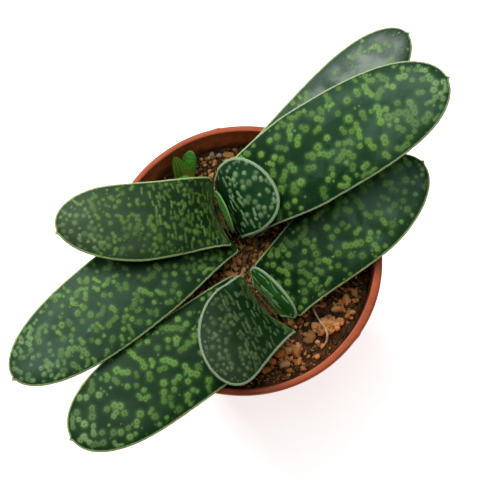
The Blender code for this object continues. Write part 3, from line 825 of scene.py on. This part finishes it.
def makePot():
    form = turned(roundedPath(potProfile(), pot["cornerRound"]), pot["steps"])
    for vert in form.verts:
        radius, angle = vert.co.xy.length, math.atan2(vert.co.y, vert.co.x)
        around = Vector((math.cos(angle), math.sin(angle), 0.0))
        high = ease((vert.co.z - 0.060) / 0.030)
        push = pot["wobble"] * high * noise.noise(around * 2.2 + Vector((0.0, 0.0, 3.0)))
        if vert.co.z > pot["height"] - pot["lipDepth"]:
            if radius > pot["rim"] - 0.0013:
                away = math.degrees(math.remainder(angle - math.radians(pot["bulgePlace"]), 2 * math.pi))
                push += pot["bulge"] * math.exp(-(away / pot["bulgeWidth"]) ** 2)
            if radius > pot["rim"] - 0.0004:
                for nub in pot["nubs"]:
                    away = math.remainder(angle - math.radians(nub), 2 * math.pi) * pot["rim"]
                    push += pot["nubRise"] * math.exp(-(away / pot["nubWidth"]) ** 2)
        if radius > 0.001:
            vert.co += around * push
    piece = addPiece("pot_shell", form, potFinish(), "pot_plastic", "pot", sharp=50)
    holes = bmesh.new()
    ring = (pot["channelOuter"] + pot["channelInner"]) / 2
    for index in range(pot["drains"]):
        angle = 2 * math.pi * (index + 0.5) / pot["drains"]
        place = (ring * math.cos(angle), ring * math.sin(angle), pot["channelRise"])
        addPeg(holes, 32, pot["drainRadius"], 4.0 * pot["channelRise"], place)
    combine(piece, "DIFFERENCE", holes)


makePot()
print("pot made")


# Soil: a bed with hollows, then loose grains, bark chips and fibres lying on it

soil = {"seed": 21, "centreHeight": 0.0790, "wallHeight": 0.0765, "gap": 0.0003, "rings": 90,
        "segments": 200, "hollow": 0.0011, "clod": 0.0006, "crumble": 0.0003, "stemHalfWidth": 0.0060,
        "stemHole": (0.0637, 0.030), "pupHole": (0.0697, 0.020), "pupHoleRadius": 0.0029,
        "pupClear": 0.0026, "lumpsPlace": (0.0320, -0.0245), "lumpsRadius": 0.0078,
        "seatRadius": 0.0090, "seatHeight": 0.0770}
litter = {"grains": 1500, "gravel": 900, "chips": 220, "crumbs": 3000, "fibres": 260,
          "reach": 0.0483, "grainMiddle": 0.019, "chipMiddle": 0.017, "crumbMiddle": 0.014,
          "fibreReach": 0.0485, "toneShift": 0.05, "sharp": 35,
          # tones and how often each comes
          "grainTones": ((0.12, 0.3, 0.45, 0.6, 0.72, 0.9), (2.4, 3.6, 5, 3.6, 3.6, 0.9)),
          "gravelTones": ((0.2, 0.36, 0.48, 0.6, 0.74), (3, 4, 4, 3, 2)),
          "chipTones": (0.42, 0.5, 0.62, 0.7),
          "crumbTones": ((0.1, 0.25, 0.42, 0.6, 0.75, 0.95), (3, 4, 5, 3.8, 2.6, 0.9))}
# larger grains that the eye picks out: x, y and size in mm, tone, stretch in three ways, heading
namedGrains = [
    (25.2, -28.7, 2.0, 0.40, 1.2, 1.0, 0.8, 60), (13.6, -35.2, 1.5, 0.64, 1.2, 0.9, 0.8, 20),
    (16.9, -34.1, 1.3, 0.76, 1.0, 1.0, 0.8, 0), (20.0, -34.5, 2.1, 0.52, 1.1, 1.0, 0.8, 45),
    (21.0, -38.2, 1.1, 0.70, 1.3, 0.7, 0.8, 70), (10.7, -38.3, 1.4, 0.66, 1.0, 1.0, 0.8, 0),
    (15.7, -39.4, 1.5, 0.80, 1.3, 0.9, 0.7, 10), (8.8, -41.3, 1.2, 0.62, 1.0, 0.8, 0.8, 0),
    (17.7, -37.1, 1.0, 0.64, 1.2, 0.8, 0.8, 30), (39.5, -14.4, 1.4, 0.74, 1.4, 0.8, 0.7, 80),
    (36.4, -17.5, 1.9, 0.72, 1.3, 0.8, 0.6, 30), (43.0, -11.3, 1.2, 0.52, 1.2, 0.8, 0.7, 60),
    (28.3, -30.9, 0.8, 0.74, 1.0, 1.0, 0.8, 0), (24.0, -23.8, 0.9, 0.70, 1.2, 0.7, 0.8, 40),
    (-4.8, -4.6, 2.3, 0.67, 1.5, 0.65, 0.5, -12), (-1.8, 0.8, 1.2, 0.72, 1.0, 1.0, 0.8, 0),
    (6.5, 4.0, 1.3, 0.68, 1.5, 0.6, 0.7, 60), (2.9, 6.1, 1.3, 0.62, 1.1, 0.9, 0.8, 0),
    (-6.8, -0.8, 1.3, 0.64, 1.3, 0.8, 0.7, 40), (-4.3, -0.9, 1.2, 0.72, 1.0, 0.9, 0.7, 0),
    (-13.1, 45.5, 1.2, 0.94, 1.0, 1.0, 0.8, 0), (-10.2, 45.0, 1.3, 0.96, 1.1, 0.9, 0.8, 20),
    (-14.3, 43.9, 1.1, 0.90, 1.0, 0.8, 0.8, 60), (-17.2, 43.5, 0.9, 0.92, 1.0, 1.0, 0.8, 0),
    (-15.6, 40.9, 1.0, 0.86, 1.2, 0.8, 0.8, 10), (-11.8, 42.0, 1.2, 0.68, 1.2, 0.9, 0.8, 75),
    (-6.5, 45.0, 1.9, 0.69, 1.5, 0.9, 0.4, 0), (-19.2, 38.2, 1.0, 0.50, 1.1, 0.9, 0.8, 0)]
peatLook = dict(
    shine=0.2, broad=(3.0, 4.0), fine=(0.5, 4.0), pores=0.55, patches=(0.35, 0.65),
    dark=(0.014, 0.008, 0.004), light=(0.115, 0.062, 0.024), warm=(0.32, 0.18, 0.072),
    deep=(0.008, 0.005, 0.003), roughness=(0.85, 1.0), relief={"fine": 0.35, "pores": 0.2},
    stains=[("warm", "fine", 0.5, 0.72, 1.0), ("deep", "pores", 0.35, 0.1, 0.7)])
fibreLook = dict(peatLook, dark=(0.16, 0.075, 0.028), light=(0.46, 0.23, 0.085), warm=(0.70, 0.44, 0.20))
grainLook = dict(
    shine=0.25, broad=(1.2, 3.0), fine=(0.35, 3.0), toneDrift=(0.14, -0.07), deep=(0.012, 0.007, 0.004),
    dustAndPaintedLight=(0.55, 0.42, 0.30), roughness=(0.8, 0.98), relief={"fine": 0.25},
    stains=[("deep", "fine", 0.42, 0.25, 0.75), ("dustAndPaintedLight", "fine", 0.58, 0.75, 0.35)],
    tones=[(0.0, (0.030, 0.016, 0.007)), (0.16, (0.12, 0.062, 0.023)), (0.32, (0.30, 0.165, 0.058)),
           (0.48, (0.60, 0.32, 0.105)), (0.60, (0.84, 0.33, 0.085)), (0.72, (0.94, 0.53, 0.18)),
           (0.84, (0.80, 0.58, 0.32)), (1.0, (0.80, 0.72, 0.58))])


def lumpsAway(x, y):
    return math.hypot(x - soil["lumpsPlace"][0], y - soil["lumpsPlace"][1])


def soilLevel(x, y):
    share = math.hypot(x, y) / collarRadius(soil["wallHeight"])
    level = soil["centreHeight"] + (soil["wallHeight"] - soil["centreHeight"]) * share * share
    seat = 1.0 - ease((lumpsAway(x, y) / soil["seatRadius"] - 0.75) / 0.5)
    return level * (1.0 - seat) + soil["seatHeight"] * seat


def soilHeight(x, y):
    place = Vector((x, y, 0.0)) / mm
    hollows = -soil["hollow"] * ease((noise.noise(place / 4.6) - 0.05) / 0.35)
    return (soilLevel(x, y) + hollows + soil["clod"] * noise.noise(place / 2.2)
            + soil["crumble"] * noise.noise(place / 0.9))


def stemClearance(x, y):
    # how far a place is from the nearest stem or from the pup's foot
    pupX, pupY = pupPlant["centre"]
    nearest = math.hypot(x - pupX, y - pupY) - soil["pupClear"]
    for plant in (firstPlant, secondPlant):
        (stemX, stemY), facing = plant["centre"], plant["facing"]
        along = (x - stemX) * math.cos(facing) + (y - stemY) * math.sin(facing)
        across = -(x - stemX) * math.sin(facing) + (y - stemY) * math.cos(facing)
        oval = math.hypot(along / plant["stem"], across / soil["stemHalfWidth"])
        nearest = min(nearest, (oval - 1.0) * plant["stem"])
    return nearest


def randomWay(rng):
    return Vector((rng.gauss(0, 1), rng.gauss(0, 1), rng.gauss(0, 1))).normalized()


def chunk(rng, place, size, detail, tone, stretch=(1.0, 1.0, 1.0), heading=None):
    # an angular grain: a ball with several sides cut flat
    form = bmesh.new()
    layer = form.verts.layers.float.new("tone")
    bmesh.ops.create_icosphere(form, subdivisions=detail, radius=1.0)
    planes = [(randomWay(rng), rng.uniform(0.55, 0.88)) for side in range(6)]
    drift = randomWay(rng) * 20.0
    if heading is None:
        turn = Matrix.Rotation(rng.uniform(0, 6.28), 3, randomWay(rng))
    else:
        turn = (Matrix.Rotation(math.radians(heading), 3, "Z")
                @ Matrix.Rotation(rng.uniform(-0.25, 0.25), 3, randomWay(rng)))
    for vert in form.verts:
        for way, depth in planes:
            vert.co -= way * max(0.0, vert.co.dot(way) - depth)
        vert.co *= 1.0 + 0.16 * noise.noise(vert.co * 1.9 + drift)
        vert.co = turn @ Vector(co * part for co, part in zip(vert.co, stretch)) * size + place
        vert[layer] = tone
    return form


def soilSpot(rng, margin, reach=litter["reach"]):
    while True:
        radius = reach * math.sqrt(rng.random())
        angle = rng.uniform(-math.pi, math.pi)
        x, y = radius * math.cos(angle), radius * math.sin(angle)
        edge = collarRadius(soil["wallHeight"]) - radius
        if stemClearance(x, y) > margin and lumpsAway(x, y) > soil["lumpsRadius"] and edge > margin:
            return x, y


def makeBed():
    rings, segments = ((soil["rings"], soil["segments"]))
    top, low = shoulderHeights()
    gap = soil["gap"]
    floor = pot["wall"] + pot["channelRise"] + gap
    side = [(collarRadius(soil["wallHeight"]) - gap, soil["wallHeight"]),
            (collarRadius(top) - gap, top + gap), (wallRadius(low) - gap, low + gap / 2),
            (wallRadius(floor + 0.0010) - gap, floor + 0.0010), (wallRadius(floor) - 0.0010, floor),
            (0.0, floor)]
    allRings = rings + len(side) - 1
    form = bmesh.new()
    bmesh.ops.create_uvsphere(form, u_segments=segments, v_segments=allRings, radius=1.0)
    for vert in form.verts:
        ring = round(math.acos(max(-1.0, min(1.0, vert.co.z))) / math.pi * allRings)
        angle = math.atan2(vert.co.y, vert.co.x)
        radius, height = (side[0][0] * ring / rings, None) if ring < rings else side[ring - rings]
        x, y = radius * math.cos(angle), radius * math.sin(angle)
        vert.co = (x, y, soilHeight(x, y) if height is None else height)
    bed = addPiece("soil_bed", form, dryFinish("peatBed", peatLook), "peat_mix", "soil")
    holes = bmesh.new()
    bottom, depth = soil["stemHole"]
    for plant in (firstPlant, secondPlant):
        size = Matrix.Diagonal((plant["stem"] + gap, soil["stemHalfWidth"] + gap, 1.0))
        addPeg(holes, 32, 1.0, depth, (*plant["centre"], bottom + depth / 2),
               shape=Matrix.Rotation(plant["facing"], 3, "Z") @ size)
    bottom, depth = soil["pupHole"]
    addPeg(holes, 24, soil["pupHoleRadius"], depth, (*pupPlant["centre"], bottom + depth / 2))
    combine(bed, "DIFFERENCE", holes)


def looseGrain(rng, spot, size, detail, tones, sunk, flatness):
    tone = rng.choices(*tones)[0]
    height = soilHeight(*spot) + size * rng.uniform(*sunk)
    tone += rng.uniform(-litter["toneShift"], litter["toneShift"])
    stretch = (1.0, *(rng.uniform(*limits) for limits in flatness))
    return chunk(rng, Vector((*spot, height)), size, detail, tone, stretch)


def makeGrains(rng):
    grains = []
    for x, y, size, tone, *stretch, heading in namedGrains:
        place = Vector((x * mm, y * mm, soilLevel(x * mm, y * mm) + size * mm * 0.35))
        size *= 1.2 if x > 8.0 else 0.85  # the open soil at the right shows larger grains
        grains.append(chunk(rng, place, size * mm, 3, tone, stretch, heading))
    for index in range(litter["grains"]):
        size = 0.0005 + 0.0009 * rng.random() ** 2
        x, y = soilSpot(rng, size + 0.0010, litter["reach" if index % 6 else "grainMiddle"])
        tone = rng.choices(*litter["grainTones"])[0]
        height = soilHeight(x, y) + size * rng.uniform(0.2, 0.7)
        stretch = (1.0, rng.uniform(0.6, 1.0), rng.uniform(0.6, 0.9))
        tone += rng.uniform(-litter["toneShift"], litter["toneShift"])
        grains.append(chunk(rng, Vector((x, y, height)), size, 2 if size > 0.0008 else 1, tone, stretch))
    for index in range(litter["gravel"]):
        size = rng.uniform(0.0007, 0.0015)
        x, y = soilSpot(rng, size + 0.0010)
        if x > 6.0 * mm and y < 2.0 * mm:  # in the open soil alone
            grains.append(looseGrain(rng, (x, y), size, 2, litter["gravelTones"], (0.3, 0.7),
                                     ((0.6, 1.0), (0.6, 0.9))))
    for index in range(litter["chips"]):
        size = rng.uniform(0.0009, 0.0018)
        x, y = soilSpot(rng, size + 0.0012, litter["reach" if index % 3 else "chipMiddle"])
        height = soilHeight(x, y) + size * 0.25
        stretch = (1.0, rng.uniform(0.25, 0.5), 0.22)
        grains.append(chunk(rng, Vector((x, y, height)), size, 2, rng.choice(litter["chipTones"]),
                            stretch, rng.uniform(0, 360)))
    grainMix = dryFinish("grainMix", grainLook)
    addPiece("soil_grains", joined(grains), grainMix, "peat_mix", sharp=litter["sharp"])
    crumbs = []
    for index in range(litter["crumbs"] // (1)):
        size = rng.uniform(0.00018, 0.00050)
        spot = soilSpot(rng, size + 0.0004, litter["reach" if index % 6 else "crumbMiddle"])
        crumbs.append(looseGrain(rng, spot, size, 1, litter["crumbTones"], (0.2, 1.1),
                                 ((0.4, 1.0), (0.4, 1.0))))
    addPiece("soil_crumbs", joined(crumbs), grainMix, "peat_mix", sharp=litter["sharp"])


def makeThreads(rng):
    threads = newTube("soil_fibres", 0)
    for index in range(litter["fibres"]):
        if index % 3:
            x, y = soilSpot(rng, 0.0015)
            heading = rng.uniform(0, 6.28)
        else:  # between the plants
            x, y = rng.gauss(0.003, 0.004), rng.gauss(0.001, 0.004)
            heading = rng.gauss(1.05, 0.5)
        length = rng.uniform(0.0003, 0.0009)
        for point in addStrand(threads, 7):
            if math.hypot(x, y) > litter["fibreReach"]:
                heading += 3.14
            point.co = (x, y, soilHeight(x, y) + rng.uniform(0.0002, 0.0011), 1.0)
            point.radius = rng.uniform(0.00007, 0.00016)
            heading += rng.gauss(0.0, 0.45)
            x, y = x + length * math.cos(heading), y + length * math.sin(heading)
    addObject("soil_fibres", tubeMesh(threads), dryFinish("fibreBrown", fibreLook), "peat_mix")


def makeSoil():
    makeBed()
    rng = random.Random(soil["seed"])
    makeGrains(rng)
    makeThreads(rng)


makeSoil()
print("soil made")


# Clay lumps and the dry root over them

lumps = {"seed": 7, "voxel": 0.00022, "swell": 1.06, "bump": 0.00035, "grit": 0.00018, "pit": 0.0004,
         "list": [
             (-0.0040, -0.0006, 0.0022, 0.0023), (-0.0024, -0.0022, 0.0018, 0.0019),
             (-0.0009, 0.0010, 0.0026, 0.0024), (0.0005, -0.0018, 0.0020, 0.0022),
             (0.0018, 0.0013, 0.0024, 0.0022), (0.0033, -0.0004, 0.0022, 0.0021),
             (0.0048, 0.0015, 0.0019, 0.0018), (0.0002, 0.0030, 0.0014, 0.0015)]}
clayLook = dict(
    shine=0.25, broad=(3.2, 3.0), fine=(0.6, 4.0), pores=0.7, patches=(0.38, 0.62),
    dark=(0.72, 0.32, 0.085), light=(0.94, 0.54, 0.21), shaded=(0.22, 0.12, 0.05),
    pale=(0.92, 0.72, 0.40), deep=(0.14, 0.055, 0.022), hole=(0.05, 0.022, 0.01),
    roughness=(0.82, 0.97), relief={"fine": 0.3, "pores": 0.2},
    stains=[("shaded", "broad", 0.44, 0.32, 1.0), ("pale", "fine", 0.52, 0.75, 0.7),
            ("deep", "fine", 0.42, 0.22, 0.8), ("hole", "pores", 0.22, 0.08, 0.8)])
fibre = {"radius": 0.00048, "wander": 0.00015, "route": [
    (0.0302, -0.0168, 0.0782), (0.0282, -0.0167, 0.0786), (0.0268, -0.0176, 0.0795),
    (0.0273, -0.0196, 0.0808), (0.0284, -0.0220, 0.0821), (0.0298, -0.0243, 0.0830),
    (0.0314, -0.0266, 0.0826), (0.0320, -0.0290, 0.0816), (0.0314, -0.0312, 0.0792),
    (0.0296, -0.0334, 0.0778)]}
rootLook = dict(
    shine=0.5, broad=(2.2, 2.0), fine=(0.35, 3.0), patches=(0.4, 0.62), dark=(0.80, 0.68, 0.46),
    light=(0.60, 0.43, 0.24), pale=(0.88, 0.80, 0.62), deep=(0.16, 0.09, 0.04),
    roughness=(0.65, 0.9), relief={"fine": 0.12},
    stains=[("pale", "fine", 0.55, 0.75, 0.6), ("deep", "fine", 0.4, 0.25, 0.6)])


def makeLumps():
    rng = random.Random(lumps["seed"])
    floor = soil["seatHeight"] + soil["gap"]
    middle = Vector((*soil["lumpsPlace"], soil["seatHeight"]))
    chunks = [chunk(rng, middle + Vector((x, y, z)), size * lumps["swell"], 4, 0.7, (1.0, 1.0, 0.95))
              for x, y, z, size in lumps["list"]]
    piece = addPiece("clay_lumps_fine", joined(chunks), dryFinish("bakedClay", clayLook), "baked_clay",
                     "clay_lumps")
    skin = piece.modifiers.new("skin", "REMESH")
    skin.mode, skin.voxel_size = "VOXEL", lumps["voxel"] * 1
    settle(piece)
    form = bmesh.new()
    form.from_mesh(piece.data)
    form.normal_update()
    moves = []
    for vert in form.verts:
        bump = lumps["bump"] * noise.noise(vert.co / 0.0014)
        grit = lumps["grit"] * noise.noise(vert.co / 0.0006)
        pit = lumps["pit"] * ease((noise.noise(vert.co / 0.0011 + Vector((5.0, 1.0, 2.0))) - 0.25) / 0.3)
        moves.append(vert.normal * (bump + grit - pit))
    for vert, move in zip(form.verts, moves):
        vert.co += move
        vert.co.z = max(vert.co.z, floor)
    form.to_mesh(piece.data)
    form.free()
    piece.data.shade_smooth()


def smoothRoute(points, steps=5):
    # a Catmull-Rom curve through the route's points
    points = [Vector(point) for point in points]
    ends = [points[0] * 2 - points[1]] + points + [points[-1] * 2 - points[-2]]
    route = []
    for a, b, c, d in zip(ends, ends[1:], ends[2:], ends[3:]):
        for index in range(steps):
            t = index / steps
            route.append(0.5 * (2 * b + (c - a) * t + (2 * a - 5 * b + 4 * c - d) * t * t
                                + (3 * b - a - 3 * c + d) * t * t * t))
    return route + [points[-1]]


def makeFibre():
    strand = newTube("root_fibre_fine", 3)
    route = smoothRoute(fibre["route"])
    for index, (point, place) in enumerate(zip(addStrand(strand, len(route)), route)):
        taper = min(1.0, 0.35 + 5.0 * min(index, len(route) - 1 - index) / len(route))
        wander = Vector((noise.noise(place / 0.0016),
                         noise.noise(place / 0.0016 + Vector((9, 0, 0))), 0.0))
        point.co = (*(place + wander * fibre["wander"]), 1.0)
        point.radius = fibre["radius"] * taper * (0.85 + 0.3 * noise.noise(place / 0.0012))
    addObject("root_fibre_fine", tubeMesh(strand), dryFinish("dryRoot", rootLook), "dry_root", "root_fibre")


makeLumps()
makeFibre()
print("lumps and root made")


# Pup: two bright leaflets on a yellowish foot

pup = {"seed": 90, "footTop": 0.0800, "footLow": 0.0700, "footRadius": 0.0026, "footNarrowing": 0.9,
       "leaflets": [
           (pupPlant, 0.0010, 0.0, 0.0780, 70, 0, 72, 42, 2.0, 0, 0.0138, 0.0066, 0.0022,
            0.92, 0.45, 2.2, 0.0, 0.0, 0.15, 0.2),
           (pupPlant, -0.0008, 0.0, 0.0780, 112, 0, 74, 52, 2.0, 0, 0.0120, 0.0060, 0.0021,
            1.0, 0.30, 1.6, 0.0, 0.0, 0.15, 0.4)]}
pupSkin = dict(
    plainSkin, ground=(0.085, 0.36, 0.030), sheenAndFleckColour=(0.15, 0.48, 0.05), edgeWidth=0.15, ring=0.0,
    spotColour=(0.020, 0.14, 0.025), edgeColour=(0.17, 0.48, 0.08), baseColour=(0.66, 0.66, 0.08),
    baseReach=0.62, tipColour=(0.05, 0.13, 0.06), tipReach=0.06, spotSize=0.42, attempts=60,
    chaining=0.3, longestChain=3, spotStart=0.4, clearEdge=0.1, step=0.18, slot="young_leaf_skin")


def makePup():
    first, second = (leafForm(dict(zip(leafColumns, row)), pupSkin, seed)
                     for seed, row in enumerate(pup["leaflets"], pup["seed"]))
    foot = bmesh.new()
    layer = foot.verts.layers.float.new("along")
    addPeg(foot, 32, pup["footRadius"], pup["footTop"] - pup["footLow"],
           (*pupPlant["centre"], (pup["footTop"] + pup["footLow"]) / 2), top=pup["footNarrowing"])
    for vert in foot.verts:
        vert[layer] = 0.0
    piece = addPiece("pup", first, leafFinish("pupSkin", pupSkin), pupSkin["slot"], "offset")
    combine(piece, "UNION", second)
    combine(piece, "UNION", foot)


makePup()
print("pup made")


# Dry sheaths: papery brown scraps left between the leaf bases, and the stems under them

husks = {"seed": 5, "thickness": 0.00016, "curl": 0.45, "ragged": 0.5, "strips": [
    # plant, then reach, slide, height, length and width in mm, and lean
    (firstPlant, 1.7, 12.6, 95.6, 4.2, 1.6, 20), (firstPlant, 1.5, 8.5, 93.2, 5.0, 1.7, 5),
    (firstPlant, 1.6, 3.5, 92.2, 5.2, 1.6, 0), (firstPlant, 1.6, -2.0, 92.1, 5.0, 1.8, 0),
    (firstPlant, 1.4, -6.8, 92.8, 4.4, 1.7, -10), (firstPlant, -1.2, -7.6, 93.0, 3.4, 2.2, -20),
    (firstPlant, -1.4, 11.0, 94.6, 4.0, 1.4, 15), (firstPlant, -0.9, 6.2, 92.2, 4.6, 1.6, 5),
    (firstPlant, -1.0, -2.6, 91.8, 5.4, 1.5, 0), (secondPlant, -1.8, 7.6, 89.6, 5.0, 1.8, 10),
    (secondPlant, -1.6, 2.8, 88.8, 5.6, 2.0, 0), (secondPlant, -1.6, -2.8, 88.8, 5.6, 2.0, 0),
    (secondPlant, -1.9, -8.0, 89.8, 4.6, 1.8, -10), (secondPlant, 2.6, 8.6, 88.2, 4.6, 2.2, 15),
    (secondPlant, 2.9, -5.6, 88.0, 4.0, 1.6, 0)]}
huskLook = dict(
    shine=0.12, broad=(1.6, 3.0), fine=(0.3, 3.0), patches=(0.35, 0.65), dark=(0.09, 0.034, 0.009),
    light=(0.27, 0.110, 0.028), pale=(0.50, 0.33, 0.18), deep=(0.03, 0.015, 0.008),
    roughness=(0.6, 0.9), relief={"fine": 0.2},
    stains=[("pale", "fine", 0.55, 0.75, 0.5), ("deep", "fine", 0.42, 0.25, 0.7)])
# the stems are near black: painted shade for the dark gap at the heart, over their own dry brown
paintedShadeStemLook = dict(huskLook, dark=(0.022, 0.018, 0.006), light=(0.06, 0.048, 0.014))


def makeHusks():
    rng = random.Random(husks["seed"])
    scraps = []
    for plant, reach, slide, height, length, width, lean in husks["strips"]:
        form = bmesh.new()
        bmesh.ops.create_grid(form, x_segments=16, y_segments=5, size=0.5)
        drift = randomWay(rng) * 30.0
        tilt = Matrix.Rotation(math.radians(lean), 3, "Y")
        turn = Matrix.Rotation(plant["facing"] + math.pi / 2, 3, "Z") @ tilt
        middle = plantPoint(plant, reach * mm, slide * mm, height * mm)
        for vert in form.verts:
            u, v = vert.co.x, vert.co.y
            ragged = 1.0 + husks["ragged"] * noise.noise(Vector((u * 5.0, 0.0, 0.0)) + drift)
            curl = husks["curl"] * noise.noise(Vector((u * 3.0, v * 2.0, 0.0)) + drift * 2.0)
            vert.co = turn @ (Vector((u * length, curl, v * width * ragged)) * mm) + middle
        bmesh.ops.recalc_face_normals(form, faces=form.faces)
        bmesh.ops.solidify(form, geom=form.faces[:], thickness=husks["thickness"])
        scraps.append(form)
    addPiece("dry_sheaths", joined(scraps), dryFinish("dryHusk", huskLook), "stem_tissue", sharp=50)
    # painted shade: the stems take this near-black finish
    paintedShadeStemSkin = dryFinish("paintedShadeStemSkin", paintedShadeStemLook)
    for node in ("first_plant_stem", "second_plant_stem"):
        for place in bpy.data.objects[node].material_slots:
            place.material = paintedShadeStemSkin


makeHusks()
print("dry sheaths made")


# Light and floor

studio = {"aim": (0.0, 0.0, 0.09), "sky": (0.90, 0.97, 1.0), "skyStrength": 0.10,
          "floor": ((0.92, 0.92, 0.92), (0.90, 0.90, 0.90)), "floorSize": 2.0, "glow": 0.75, "lights": [
              # name, place, size, power
              ("keyLight", (-0.42, 0.62, 0.78), 0.50, 8.0),
              ("topLight", (-0.05, 0.25, 1.20), 0.8, 5.0)]}


def areaLight(name, place, size, power):
    lamp = bpy.data.lights.new(name, "AREA")
    lamp.size = size
    lamp.energy = power
    away = (Vector(place) - Vector(studio["aim"])).normalized()
    turn = away.to_track_quat("Z", "Y").to_matrix().to_4x4()
    linked(name, lamp).matrix_world = Matrix.Translation(place) @ turn


def makeFloor():
    form = bmesh.new()
    bmesh.ops.create_grid(form, x_segments=1, y_segments=1, size=studio["floorSize"])
    floor = linked("floor", meshFrom("floor", form))
    finish, tree, shader = newFinish("floorPaint", Roughness=0.8)
    shade = mixed(cloud(objectPlace(tree, 1.0), 0.5), *studio["floor"])
    feedAll(shader, {"Base Color": shade, "Emission Color": (1.0, 1.0, 1.0),
                     "Emission Strength": studio["glow"]})
    floor.data.materials.append(finish)


def makeStudio():
    for name, place, size, power in studio["lights"]:
        areaLight(name, place, size, power)
    world = bpy.data.worlds.new("studio")
    world.use_nodes = True
    feedAll(world.node_tree.nodes["Background"],
            {"Color": studio["sky"], "Strength": studio["skyStrength"]})
    bpy.context.scene.world = world
    bpy.context.scene.view_settings.view_transform = "Standard"
    makeFloor()


makeStudio()
print("light and floor made")
